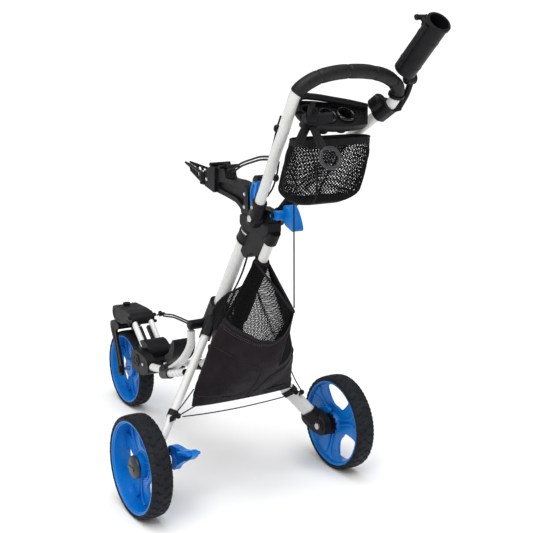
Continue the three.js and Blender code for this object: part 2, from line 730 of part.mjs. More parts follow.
function storageBag() {
  const steps = [0, 0.15, 0.4, 0.65, 0.85, 1];
  const outer = outward(skin(steps.map((t) => bagRing(t, 0))));
  const inner = steps.map((t) => bagRing(Math.max(t, 0.03), 2.5));
  const lifted = inner[inner.length - 1].map((p) => p.clone().add(point(0, 0, 30)));
  const room = box(-20, 20, 30, 165, 385, 520);
  return cut(outer, outward(skin([...inner, lifted])), room);
}

// ---------------------------------------------------------------- cords
const CORDS = {
  upper: [
    [-12, 98, 849], [-14, 84, 846], [-20, 50, 850], [-32, -10, 868], [-46, -80, 888], [-58, -140, 902],
    [-67, -178, 908],
  ],
  lower: [
    [44, 602, 310], [42, 570, 322], [34, 500, 326], [8, 420, 342], [-24, 330, 378], [-44, 250, 402],
    [-52, 214, 408],
  ],
  net: [[0, -198, 800], [0, -202, 730], [0, -207, 640], [0, -212, 552]],
};

function cord(name, radius) {
  const route = CORDS[name].map(([x, y, z]) => point(x, y, z));
  return tube(route, radius, 0, 12, 4);
}

// ---------------------------------------------------------------- handle
const HANDLE_HALF = [
  [40, -100, 767], [64, -184, 860], [85, -250, 932], [109, -320, 995], [131, -372, 1040], [130, -394, 1076],
  [96, -402, 1101], [48, -404, 1113],
];

function handleRoute() {
  const right = HANDLE_HALF.map(([x, y, z]) => point(x, y, z));
  const left = right.map((p) => point(-p.x, p.y, p.z));
  return [...left, point(0, -405, 1116), ...right.reverse()];
}

function handleTube() {
  return tube(handleRoute(), HANDLE_R, TUBE_WALL, HANDLE_STEPS, 4);
}

// The soft grip over the top of the loop.
function handleGrip() {
  const curve = new THREE.CatmullRomCurve3(handleRoute(), false, "centripetal");
  const [from, to] = [16, 28];
  const points = Array.from({ length: to - from + 1 }, (_, i) => curve.getPointAt((from + i) / HANDLE_STEPS));
  return tube(points, GRIP_R, GRIP_R - HANDLE_R - 1.6, to - from, 4);
}

// The loop's tube with clearance, for cutting the pieces that sit on it.
function handleCut() {
  return tube(handleRoute(), HANDLE_R + GAP, 0, HANDLE_STEPS, 4);
}

// The socket that holds a handle tube's lower end and turns on the cross pin.
function handleSocket(side) {
  const [x, y, z] = HANDLE_HALF[0];
  const low = onSide(side, point(33, -77, 734));
  const high = onSide(side, point(47.5, -126, 796));
  const body = rod(low, high, 18.5, 20, 17);
  const boss = xRod(side * 25, side * 48, HANDLE_AXIS.y, HANDLE_AXIS.z, 20);
  const seat = rod(
    onSide(side, point(x, y, z)).add(point(-side * 0.6, 1.6, -1.8)), onSide(side, point(65, -188, 864)),
    HANDLE_R + GAP, 16,
  );
  const keep = box(side > 0 ? 24.4 : -90, side > 0 ? 90 : -24.4, -300, 100, 600, 1000);
  const pin = xRod(-60, 60, HANDLE_AXIS.y, HANDLE_AXIS.z, 6.4);
  const headRoom = xRod(side * 49.6, side * 70, HANDLE_AXIS.y, HANDLE_AXIS.z, 11);
  return geometryOf(solid(cut(join(body, boss), seat, pin, headRoom)).intersect(solid(keep)));
}

// The console between the handle tubes: a sloping tray with two ball cups and a row of tee holes.
function consoleTray() {
  const top = new THREE.Shape();
  top.moveTo(-84, -34);
  top.quadraticCurveTo(0, -52, 60, -40);
  top.lineTo(92, 14);
  top.quadraticCurveTo(40, 22, 0, 30);
  top.quadraticCurveTo(-50, 44, -78, 40);
  top.quadraticCurveTo(-98, 36, -94, 10);
  top.closePath();
  const slab = new THREE.ExtrudeGeometry(top, { depth: 26, bevelEnabled: false, curveSegments: 4 });
  const cups = [-26, 22].map(
    (x) => new THREE.CylinderGeometry(19, 17, 40, 14).rotateX(Math.PI / 2).translate(x, -4, 2),
  );
  const hollows = [-26, 22].map(
    (x) => new THREE.CylinderGeometry(16.5, 15, 60, 14).rotateX(Math.PI / 2).translate(x, -4, 14),
  );
  const tees = [52, 62, 72].map(
    (x) => new THREE.CylinderGeometry(3, 3, 60, 6).rotateX(Math.PI / 2).translate(x, 2, 13),
  );
  const slot = new THREE.CylinderGeometry(15, 15, 80, 12).rotateX(Math.PI / 2);
  slot.scale(1.15, 1, 1).translate(-66, 10, 13);
  const whole = cut(join(slab, ...cups), ...hollows, ...tees, slot);
  whole.rotateX(CONSOLE.tilt).translate(0, CONSOLE.y, CONSOLE.z);
  const arm = rod(CUP_ARM.from, CUP_ARM.to, 7, 8);
  const pin = rod(CUP_ARM.from, along(CUP_ARM.to, CUP_ARM.from, -24), 4, 8);
  return cut(join(whole, arm, pin), handleCut());
}

// The mesh basket: a wedge-shaped pocket, open at the top, hung behind the tubes.
function basketRing(t, inset) {
  const halfX = 80 + 20 * t - inset;
  const frontY = -204 - 110 * t - inset;
  const rearY = -312 - 16 * Math.sin(Math.PI * t) - 46 * t + inset;
  const z = 826 + 142 * t;
  const corner = 36;
  const ring = [];
  const corners = [[halfX, frontY, 0], [-halfX, frontY, 1], [-halfX, rearY, 2], [halfX, rearY, 3]];
  corners.forEach(([x, y, k]) => {
    for (let i = 0; i <= 2; i++) {
      const turn = (Math.PI / 2) * (k + i / 2);
      const cx = x - Math.sign(x) * corner;
      const cy = y + (k < 2 ? -corner : corner) * 0.6;
      ring.push(
        point(cx + corner * Math.cos(turn), cy + corner * 0.6 * Math.sin(turn), z - 6 * (1 - t) * (y / -300)),
      );
    }
  });
  return ring;
}

function meshBasket() {
  const steps = [0, 0.08, 0.25, 0.5, 0.75, 1];
  const insets = [24, 8, 0, 0, 0, 0];
  const outer = outward(skin(steps.map((t, k) => basketRing(t, insets[k]))));
  const inner = steps.map((t, k) => basketRing(Math.max(t, 0.02), insets[k] + 2.5));
  const lifted = inner[inner.length - 1].map((p) => p.clone().add(point(0, 0, 30)));
  return cut(outer, outward(skin([...inner, lifted])));
}

// The clamp on the right tube, below the grip's end, with an arm outside the loop to the umbrella
// holder's pivot.
function umbrellaClamp() {
  const block = bar(point(119, -342, 1014), point(131, -371, 1039), 36, 40, point(1, 0, 0), 10);
  const base = bar(point(130, -358, 1028), point(158, -370, 1036), 20, 22, point(0, 0, 1));
  const arm = tube([point(158, -366, 1030), point(160, -388, 1062), point(160, -402, 1092)], 7, 0, 4, 4);
  const lug = xRod(153, 166, PIVOT.y, PIVOT.z, 13);
  const bore = xRod(140, 170, PIVOT.y, PIVOT.z, 5.4);
  return cut(join(block, base, arm, lug), handleCut(), bore);
}

function umbrellaHolder() {
  const { low, high, outer, inner } = UMBRELLA;
  const wall = rod(low, high, outer, 18);
  const lip = rod(along(high, low, 5), high, outer + 2.5, 18);
  const bore = rod(along(low, high, 8), along(low, high, 240), inner, 18);
  const rail = bar(
    along(low, high, 12), along(high, low, 10), 7, 10, point(0, 1, 1),
  ).translate(-outer - 1, 0, 0);
  const knuckle = xRod(144, 152.4, PIVOT.y, PIVOT.z, 13);
  const bridge = bar(
    point(144, PIVOT.y, PIVOT.z), along(low, high, 24).add(point(15, 0, 0)), 20, 12, point(1, 0, 0),
  );
  const pin = xRod(150, 168, PIVOT.y, PIVOT.z, 5);
  const { at, out } = knobSeat();
  const hole = rod(at, at.clone().addScaledVector(out, outer + 10), 5.4, 10);
  return cut(join(wall, lip, rail, knuckle, bridge, pin), bore, hole);
}

// Where the screw stands in the umbrella tube's side, and the way it points.
function knobSeat() {
  const at = along(UMBRELLA.high, UMBRELLA.low, 34);
  return { at, out: point(0, 0.72, 0.69).normalize() };
}

// The screw in the umbrella tube's side that grips an umbrella's shaft.
function umbrellaKnob() {
  const { at, out } = knobSeat();
  const stem = rod(
    at.clone().addScaledVector(out, 18), at.clone().addScaledVector(out, UMBRELLA.outer + 16), 5, 10,
  );
  const top = at.clone().addScaledVector(out, UMBRELLA.outer + 20);
  const wing = bar(top.clone().add(point(-16, 0, 0)), top.clone().add(point(16, 0, 0)), 9, 12, out);
  return join(stem, wing);
}

// A folding cup holder on an arm of the console: a hub with four fingers and a small stirrup.
function drinkHolder() {
  const face = along(CUP_ARM.to, CUP_ARM.from, -GAP);
  const back = along(CUP_ARM.to, CUP_ARM.from, -28);
  const centre = lerp(face, back, 0.5);
  const at = (x, y, z) => centre.clone().add(point(x, y, z));
  const hub = bar(face, back, 26, 30, point(0, 0, 1));
  const fingers = [[-26, 2, -50], [14, -26, -58], [42, -22, 6], [-8, -18, 34]].map(([x, y, z]) =>
    bar(at(x * 0.2, y * 0.2, z * 0.2), at(x, y, z), 15, 6, point(0.3, -0.9, 0.3)));
  const stirrup = bar(at(16, -24, -56), at(-6, -36, -66), 12, 5, point(0, 0, 1));
  return cut(join(hub, ...fingers, stirrup), rod(CUP_ARM.from, along(back, CUP_ARM.from, -20), 4.5, 8));
}

// ---------------------------------------------------------------- assembly
const LEFT_WHEEL = point(-TRACK / 2, 0, REAR.radius);
const RIGHT_WHEEL = point(TRACK / 2, 0, REAR.radius);
const FRONT_WHEEL = point(0, WHEELBASE, FRONT.radius);

addMesh("main_tube", mainTube(), WHITE);
addMesh("hub_sleeve", hubSleeve(), BLACK);
addMesh("left_leg", leg(-1), WHITE);
addMesh("right_leg", leg(1), WHITE);
addMesh("rear_link", rearLink(), WHITE);
addMesh("top_sleeve", topSleeve(), BLACK);
addMesh("joint_yoke", jointYoke(), BLACK);
addMesh("joint_pin", jointPin(), STEEL);
addMesh("upper_lever", upperLever(), BLUE);
addMesh("lower_lever", lowerLever(), BLUE);
addMesh("cradle_arm", cradleArm(), BLACK);
addMesh("left_cradle_wing", cradleWing(-1), BLACK);
addMesh("right_cradle_wing", cradleWing(1), BLACK);
addMesh("left_side_tube", sideTube(-1), WHITE);
addMesh("right_side_tube", sideTube(1), WHITE);
addMesh("left_strut", sideStrut(-1), WHITE);
addMesh("right_strut", sideStrut(1), WHITE);
addMesh("left_strut_bracket", sideBracket(-1), BLACK);
addMesh("right_strut_bracket", sideBracket(1), BLACK);
addMesh("front_housing", frontHousing(), BLACK);
addMesh("left_axle_bracket", axleBracket(-1), BLACK);
addMesh("right_axle_bracket", axleBracket(1), BLACK);
addMesh("left_axle", rearAxle(-1), STEEL);
addMesh("right_axle", rearAxle(1), STEEL);
addMesh("left_leg_clip", legClip(-1), BLACK);
addMesh("right_leg_clip", legClip(1), BLACK);
addMesh("brake_cable", brakeCable(), CAP);
addMesh("brake_pedal", brakePedal(), BLUE);
addMesh("brake_pawl", brakePawl(), BLUE);
addMesh("storage_bag", storageBag(), FABRIC);
addMesh("upper_bungee", cord("upper", 2.5), RUBBER);
addMesh("lower_bungee", cord("lower", 2.5), RUBBER);
addMesh("net_cord", cord("net", 1.8), RUBBER);

addMesh("left_front_arm", frontArm(-1), WHITE);
addMesh("right_front_arm", frontArm(1), WHITE);
addMesh("front_knuckle", frontKnuckle(), BLACK);
addMesh("caster_head", casterHead(), BLACK);
addMesh("swivel_lock", swivelLock(), BLACK);
addMesh("fork", fork(), BLACK);
addMesh("front_axle", frontAxle(), STEEL);
addMesh("front_tyre", tyre(FRONT, FRONT_WHEEL), RUBBER);
addMesh("front_rim", rim(FRONT, FRONT_WHEEL, -1), BLUE);
addMesh("left_tyre", tyre(REAR, LEFT_WHEEL), RUBBER);
addMesh("left_rim", rim(REAR, LEFT_WHEEL, -1), BLUE);
addMesh("left_hub_cap", hubCap(-1, LEFT_WHEEL), CAP);
addMesh("left_brake_ring", brakeRing(-1, LEFT_WHEEL), BLACK);
addMesh("right_tyre", tyre(REAR, RIGHT_WHEEL), RUBBER);
addMesh("right_rim", rim(REAR, RIGHT_WHEEL, 1), BLUE);
addMesh("right_hub_cap", hubCap(1, RIGHT_WHEEL), CAP);
addMesh("right_brake_ring", brakeRing(1, RIGHT_WHEEL), BLACK);

addMesh("handle_tube", handleTube(), WHITE);
addMesh("left_tube_socket", handleSocket(-1), BLACK);
addMesh("right_tube_socket", handleSocket(1), BLACK);
addMesh("grip", handleGrip(), FOAM);
addMesh("console_tray", consoleTray(), BLACK);
addMesh("mesh_basket", meshBasket(), FABRIC);
addMesh("umbrella_clamp", umbrellaClamp(), BLACK);
addMesh("umbrella_holder", umbrellaHolder(), BLACK);
addMesh("umbrella_knob", umbrellaKnob(), BLACK);
addMesh("drink_holder", drinkHolder(), BLACK);

// The origin is the middle of the whole's box, on the ground.
const whole = new THREE.Box3().setFromObject(model);
const middle = whole.getCenter(new THREE.Vector3());
model.position.set(-middle.x, -middle.y, -whole.min.z);

export default trolley;
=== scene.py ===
import json
from math import copysign, cos, degrees, exp, pi, radians, sin

import bpy
import bmesh
from mathutils import Matrix, Vector, noise


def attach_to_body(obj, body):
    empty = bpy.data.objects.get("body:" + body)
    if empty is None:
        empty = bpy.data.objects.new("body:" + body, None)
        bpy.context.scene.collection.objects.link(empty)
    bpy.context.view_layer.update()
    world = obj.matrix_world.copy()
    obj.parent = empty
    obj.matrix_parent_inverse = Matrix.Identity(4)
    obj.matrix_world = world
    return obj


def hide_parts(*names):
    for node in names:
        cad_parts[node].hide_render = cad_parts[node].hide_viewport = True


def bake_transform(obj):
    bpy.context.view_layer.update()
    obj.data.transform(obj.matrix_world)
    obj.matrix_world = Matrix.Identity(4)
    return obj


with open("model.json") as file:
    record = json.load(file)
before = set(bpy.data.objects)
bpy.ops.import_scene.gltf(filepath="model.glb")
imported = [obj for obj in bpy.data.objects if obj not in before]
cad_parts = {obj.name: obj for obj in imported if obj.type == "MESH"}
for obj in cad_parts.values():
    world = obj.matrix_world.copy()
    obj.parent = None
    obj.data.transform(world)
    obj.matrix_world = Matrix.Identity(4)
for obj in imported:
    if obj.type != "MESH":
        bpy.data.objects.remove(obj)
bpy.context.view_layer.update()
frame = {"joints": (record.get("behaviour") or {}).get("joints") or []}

JOINTS = {joint["name"]: joint for joint in frame["joints"]}
REAR_AXLE = Vector(JOINTS["left_wheel_spin"]["pos_m"])


def V(*xyz):
    return Vector(xyz)


def placed(p):
    """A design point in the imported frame, in metres."""
    return Vector((p[0] / 1000, p[1] / 1000 + REAR_AXLE.y, p[2] / 1000))


def joint_point(name):
    """A joint's place as a design point."""
    p = Vector(JOINTS[name]["pos_m"])
    return V(p.x * 1000, (p.y - REAR_AXLE.y) * 1000, p.z * 1000)


def on(side, p):
    return V(side * p[0], p[1], p[2])


# ---------------------------------------------------------------- sizes
REAR_CENTRE = joint_point("right_wheel_spin")
FRONT_CENTRE = joint_point("front_wheel_spin")
REAR = {"radius": 130.0, "width": 56.0, "rim": 117.0, "hub": 30.0}
FRONT = {"radius": 119.0, "width": 50.0, "rim": 106.0, "hub": 26.0}
HUB, TOP = V(0, 163, 437), V(0, -4, 711)
LINK_LOW, LINK_HIGH = V(0, 54, 437), V(0, -112, 709)
HANDLE_AXIS = joint_point("handle_fold")
FOLD_AXIS = joint_point("front_fold")
LEG_TOP, LEG_END, LEG_FACE = V(24, 153.4, 408.6), V(245, 28, 137.5), V(0.747, 0.569, 0.346)
LEG_THICK, LEG_WIDE = 22.0, 40.0
MAIN_WIDE, MAIN_DEEP = 30.0, 40.0
HANDLE_R, GRIP_R = 12.5, 17.5
HALF_TRACK, AXLE_HIGH = 300, 130
SIDES = (-1, 1)
BOTH = ((-1, "left"), (1, "right"))


# ---------------------------------------------------------------- camera
def new_object(name, data):
    """A named object holding the data, put in the scene."""
    obj = bpy.data.objects.new(name, data)
    bpy.context.scene.collection.objects.link(obj)
    return obj


def add_camera():
    azimuth, elevation, roll = (radians(a) for a in (32.19, 14.15, 1.36))
    forward = V(sin(azimuth) * cos(elevation), cos(azimuth) * cos(elevation),
                -sin(elevation))
    right = forward.cross(V(0, 0, 1)).normalized()
    up = right.cross(forward)
    turned_right = right * cos(roll) + up * sin(roll)
    turned_up = up * cos(roll) - right * sin(roll)
    data = bpy.data.cameras.new("camera")
    data.lens = 73.56
    data.sensor_width = 36.0
    data.clip_start = 0.05
    camera = new_object("camera", data)
    pose = Matrix((turned_right, turned_up, -forward)).transposed().to_4x4()
    pose.translation = placed(V(-1370.7, -2263.0, 1272.2))
    camera.matrix_world = pose
    bpy.context.scene.camera = camera


add_camera()


# ---------------------------------------------------------------- shapes: points and faces in millimetres
class Shape:
    def __init__(self, points=(), faces=()):
        self.points = [Vector(p) for p in points]
        self.faces = [list(f) for f in faces]

    def __add__(self, other):
        n = len(self.points)
        return Shape(self.points + other.points, self.faces + [[i + n for i in f] for f in other.faces])

    def moved(self, matrix):
        return Shape([matrix @ p for p in self.points], self.faces)


def merged(shapes):
    total = Shape()
    for shape in shapes:
        total = total + shape
    return total


def catmull(points, count, closed=False):
    """Evenly spaced points on a centripetal Catmull-Rom curve."""
    points = [Vector(p) for p in points]
    n = len(points)
    if closed:
        ring = [points[-1]] + points + [points[0], points[1]]
    else:
        ring = [points[0] * 2 - points[1]] + points + [points[-1] * 2 - points[-2]]
    dense = []
    for i in range(1, len(ring) - 2):
        p0, p1, p2, p3 = ring[i - 1], ring[i], ring[i + 1], ring[i + 2]
        t1 = max((p1 - p0).length, 1e-6) ** 0.5
        t2 = t1 + max((p2 - p1).length, 1e-6) ** 0.5
        t3 = t2 + max((p3 - p2).length, 1e-6) ** 0.5
        for k in range(24):
            t = t1 + (t2 - t1) * k / 24
            a1 = p0 * ((t1 - t) / t1) + p1 * (t / t1)
            a2 = p1 * ((t2 - t) / (t2 - t1)) + p2 * ((t - t1) / (t2 - t1))
            a3 = p2 * ((t3 - t) / (t3 - t2)) + p3 * ((t - t2) / (t3 - t2))
            b1 = a1 * ((t2 - t) / t2) + a2 * (t / t2)
            b2 = a2 * ((t3 - t) / (t3 - t1)) + a3 * ((t - t1) / (t3 - t1))
            dense.append(b1 * ((t2 - t) / (t2 - t1)) + b2 * ((t - t1) / (t2 - t1)))
    dense.append(points[0].copy() if closed else points[-1].copy())
    return evenly(dense, count, closed)


def evenly(line, count, closed=False):
    """The line's points again, count of them at even distances."""
    lengths = [0.0]
    for a, b in zip(line, line[1:]):
        lengths.append(lengths[-1] + (b - a).length)
    spans = count if closed else count - 1
    made, k = [], 0
    for i in range(count):
        want = lengths[-1] * i / spans
        while k < len(line) - 2 and lengths[k + 1] < want:
            k += 1
        span = max(lengths[k + 1] - lengths[k], 1e-9)
        made.append(line[k].lerp(line[k + 1], min(max((want - lengths[k]) / span, 0), 1)))
    return made


def frames(path, up=V(0, 0, 1)):
    """For each point of a path its tangent and two directions across it, turning as little as they can."""
    tangents = []
    for i in range(len(path)):
        a, b = path[max(i - 1, 0)], path[min(i + 1, len(path) - 1)]
        tangents.append((b - a).normalized())
    across = up.cross(tangents[0])
    if across.length < 0.1:
        across = V(0, 1, 0).cross(tangents[0])
    across.normalize()
    made = []
    for t in tangents:
        across = (across - t * across.dot(t)).normalized()
        made.append((t, across, t.cross(across)))
    return made


def ring_faces(rings, count, closed_ends=True):
    """The faces between rings of count points, each ring joined to the next."""
    faces = []
    for k in range(rings - 1):
        for i in range(count):
            j = (i + 1) % count
            faces.append([k * count + i, k * count + j, (k + 1) * count + j, (k + 1) * count + i])
    if closed_ends:
        faces.append(list(range(count))[::-1])
        faces.append([(rings - 1) * count + i for i in range(count)])
    return faces


def closing_faces(rings, count):
    """The faces from the last ring back to the first."""
    last = (rings - 1) * count
    return [[last + i, last + (i + 1) % count, (i + 1) % count, i] for i in range(count)]


def sweep(path, radius, sides=20, oval=1.0, up=V(0, 0, 1)):
    """A round or oval bar along a path; radius is a number or a function of the share along it."""
    points = []
    for k, (p, (t, a, b)) in enumerate(zip(path, frames(path, up))):
        r = radius(k / (len(path) - 1)) if callable(radius) else radius
        for i in range(sides):
            turn = 2 * pi * i / sides
            points.append(p + a * (r * cos(turn)) + b * (r * oval * sin(turn)))
    return Shape(points, ring_faces(len(path), sides))


def tube(path, radius, wall=1.5, sides=24):
    """A hollow round tube along a path, open at both ends."""
    outer, inner = [], []
    for p, (t, a, b) in zip(path, frames(path)):
        for i in range(sides):
            turn = 2 * pi * i / sides
            way = a * cos(turn) + b * sin(turn)
            outer.append(p + way * radius)
            inner.append(p + way * (radius - wall))
    n, k = len(outer), len(path)
    faces = ring_faces(k, sides, False)
    faces += [[i + n for i in f][::-1] for f in ring_faces(k, sides, False)]
    for i in range(sides):
        j = (i + 1) % sides
        faces.append([i, i + n, j + n, j])
        e = (k - 1) * sides
        faces.append([e + j, e + j + n, e + i + n, e + i])
    return Shape(outer + inner, faces)


def straight(a, b, count=2):
    return [a.lerp(b, i / (count - 1)) for i in range(count)]


def along(a, b, distance):
    return a + (b - a).normalized() * distance


def turned(a, b, profile, sides=32, ring=False):
    """A profile of (distance from a towards b, radius) pairs turned about the line from a to b."""
    axis = (b - a).normalized()
    helper = V(0, 0, 1) if abs(axis.z) < 0.8 else V(0, 1, 0)
    u = helper.cross(axis).normalized()
    v = axis.cross(u)
    points = []
    for distance, radius in profile:
        for i in range(sides):
            turn = 2 * pi * (i / sides)
            points.append(a + axis * distance + (u * cos(turn) + v * sin(turn)) * max(radius, 0.01))
    faces = ring_faces(len(profile), sides, not ring)
    return Shape(points, faces + (closing_faces(len(profile), sides) if ring else []))


def rod(a, b, radius, chamfer=0.6, sides=28):
    length = (b - a).length
    c = min(chamfer, length / 3, radius / 2)
    return turned(a, b, [(0, radius - c), (c, radius), (length - c, radius), (length, radius - c)], sides)


def pin(x0, x1, y, z, radius, chamfer=0.6, sides=28):
    return rod(V(x0, y, z), V(x1, y, z), radius, chamfer, sides)


def hex_nut(centre, axis, radius, height):
    return turned(centre, centre + axis, [(0, radius), (height * 0.8, radius), (height, radius * 0.86)], 6)


def beam(a, b, wide, deep, up, corner=3.0, steps=4, count=2):
    """A bar of rounded rectangular section; its depth lies along up."""
    axis = (b - a).normalized()
    x = up.cross(axis).normalized()
    y = axis.cross(x)
    r = min(corner, wide / 2 - 0.01, deep / 2 - 0.01)
    section = []
    for k, (sx, sy) in enumerate([(1, 1), (-1, 1), (-1, -1), (1, -1)]):
        for i in range(steps + 1):
            turn = pi / 2 * (k + i / steps)
            section.append((sx * (wide / 2 - r) + r * cos(turn),
                            sy * (deep / 2 - r) + r * sin(turn)))
    points = [p + x * u + y * v for p in straight(a, b, count) for u, v in section]
    return Shape(points, ring_faces(count, len(section)))


def prism(outline, x0, x1):
    """A side outline of (y, z) points drawn out across X."""
    n = len(outline)
    points = [V(x, y, z) for x in (x0, x1) for y, z in outline]
    return Shape(points, ring_faces(2, n))


def rounded(outline, count=40):
    """A smooth closed outline through (y, z) points."""
    return [(p.x, p.y) for p in catmull([V(y, z, 0) for y, z in outline], count, closed=True)]


def softened(outline, corner=4.0, steps=4):
    """An outline with its corners rounded off."""
    made = []
    n = len(outline)
    for i in range(n):
        a, p, b = (Vector(outline[(i + k) % n]) for k in (-1, 0, 1))
        da, db = (a - p), (b - p)
        cut = min(corner, da.length * 0.45, db.length * 0.45)
        start, end = p + da.normalized() * cut, p + db.normalized() * cut
        for k in range(steps + 1):
            t = k / steps
            q = start * (1 - t) ** 2 + p * (2 * t * (1 - t)) + end * t ** 2
            made.append((q.x, q.y))
    return made


def box(x0, x1, y0, y1, z0, z1):
    points = [V(x, y, z) for x in (x0, x1) for y in (y0, y1) for z in (z0, z1)]
    return Shape(points, [[0, 1, 3, 2], [4, 6, 7, 5], [0, 4, 5, 1], [2, 3, 7, 6], [0, 2, 6, 4], [1, 5, 7, 3]])


# ---------------------------------------------------------------- from shapes to pieces
LOOKS = {}
BLACK = "black_plastic"


def mesh_of(shape, name):
    mesh = bpy.data.meshes.new(name)
    mesh.from_pydata([placed(p) for p in shape.points], [], shape.faces)
    tool = bmesh.new()
    tool.from_mesh(mesh)
    bmesh.ops.remove_doubles(tool, verts=tool.verts, dist=2e-6)
    bmesh.ops.recalc_face_normals(tool, faces=tool.faces)
    tool.to_mesh(mesh)
    tool.free()
    return mesh


def baked(obj):
    """The object's mesh with its modifiers applied."""
    graph = bpy.context.evaluated_depsgraph_get()
    mesh = bpy.data.meshes.new_from_object(obj.evaluated_get(graph), depsgraph=graph)
    obj.modifiers.clear()
    obj.data = mesh
    return obj


def carve(obj, shapes, operation="DIFFERENCE"):
    """Cuts shapes out of a piece, or joins them to it, one after another."""
    for shape in shapes:
        tool = new_object("tool", mesh_of(shape, "tool"))
        step = obj.modifiers.new("carve", "BOOLEAN")
        step.operation = operation
        step.solver = "EXACT"
        step.object = tool
        bpy.context.view_layer.update()
        baked(obj)
        bpy.data.objects.remove(tool)
    return obj


def piece(name, shape, look, body, *replaced, bevel=0.0, segments=3, cuts=(), joins=(), angle=35, slot=None):
    """A shown piece: its mesh, booleans, rounded edges, material and body."""
    obj = new_object(name, mesh_of(shape, name))
    carve(obj, joins, "UNION")
    carve(obj, cuts)
    if bevel:
        step = obj.modifiers.new("edges", "BEVEL")
        step.width = bevel / 1000
        step.segments = segments
        step.limit_method = "ANGLE"
        step.angle_limit = radians(angle)
        step.use_clamp_overlap = True
    finish_piece(obj, look, angle)
    attach(obj, body)
    if replaced:
        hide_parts(*replaced)
    return obj


def attach(obj, body):
    """The piece follows one body; given (body, body, start, end) instead, it only has its place baked into
    its mesh and follows no body.
    """
    if isinstance(body, str):
        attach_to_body(obj, body)
    else:
        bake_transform(obj)


def finish_piece(obj, look, angle=35):
    baked(obj)
    obj.data.materials.clear()
    obj.data.materials.append(material(look))
    obj.data.shade_smooth()
    obj.data.set_sharp_from_angle(angle=radians(angle))
    weigh = obj.modifiers.new("normals", "WEIGHTED_NORMAL")
    weigh.keep_sharp = True
    weigh.weight = 60


# ---------------------------------------------------------------- materials
class Look:
    """A Principled material whose textures follow the piece's own coordinates."""

    def __init__(self, name, colour, roughness, **sockets):
        self.material = bpy.data.materials.new(name)
        self.material.use_nodes = True
        self.tree = self.material.node_tree
        self.shader = self.tree.nodes["Principled BSDF"]
        self.shader.inputs["Base Color"].default_value = (*colour, 1)
        self.shader.inputs["Roughness"].default_value = roughness
        for key, value in sockets.items():
            self.shader.inputs[key.replace("_", " ")].default_value = value
        self.place = self.add("ShaderNodeTexCoord").outputs["Object"]
        self.height = None

    def add(self, kind, inputs=None, **settings):
        node = self.tree.nodes.new(kind)
        for key, value in settings.items():
            setattr(node, key, value)
        for key, value in (inputs or {}).items():
            if isinstance(value, bpy.types.NodeSocket):
                self.tree.links.new(value, node.inputs[key])
            else:
                node.inputs[key].default_value = value
        return node

    def noise(self, scale, detail=4.0, rough=0.55):
        inputs = {"Vector": self.place, "Scale": scale, "Detail": detail, "Roughness": rough}
        return self.add("ShaderNodeTexNoise", inputs).outputs["Fac"]

    def cells(self, scale):
        return self.add("ShaderNodeTexVoronoi", {"Vector": self.place, "Scale": scale}).outputs["Distance"]

    def wave(self, scale, axis, distortion=0.0):
        inputs = {"Vector": self.place, "Scale": scale, "Distortion": distortion, "Detail Scale": 2.0}
        return self.add("ShaderNodeTexWave", inputs, bands_direction=axis).outputs["Fac"]

    def ranged(self, value, low, high):
        inputs = {"Value": value, "From Min": 0.3, "From Max": 0.7, "To Min": low, "To Max": high}
        return self.add("ShaderNodeMapRange", inputs).outputs["Result"]

    def sum(self, a, b, operation="ADD"):
        return self.add("ShaderNodeMath", {0: a, 1: b}, operation=operation).outputs[0]

    def colours(self, value, *stops):
        node = self.add("ShaderNodeValToRGB", {"Fac": value})
        ramp = node.color_ramp
        while len(ramp.elements) < len(stops):
            ramp.elements.new(0.5)
        for element, (position, colour) in zip(ramp.elements, stops):
            element.position = position
            element.color = (*colour, 1)
        self.tree.links.new(node.outputs["Color"], self.shader.inputs["Base Color"])

    def shine(self, value):
        self.tree.links.new(value, self.shader.inputs["Roughness"])

    def bump(self, value, strength, distance):
        inputs = {"Height": value, "Strength": strength, "Distance": distance}
        if self.height:
            inputs["Normal"] = self.height
        self.height = self.add("ShaderNodeBump", inputs).outputs["Normal"]
        self.tree.links.new(self.height, self.shader.inputs["Normal"])


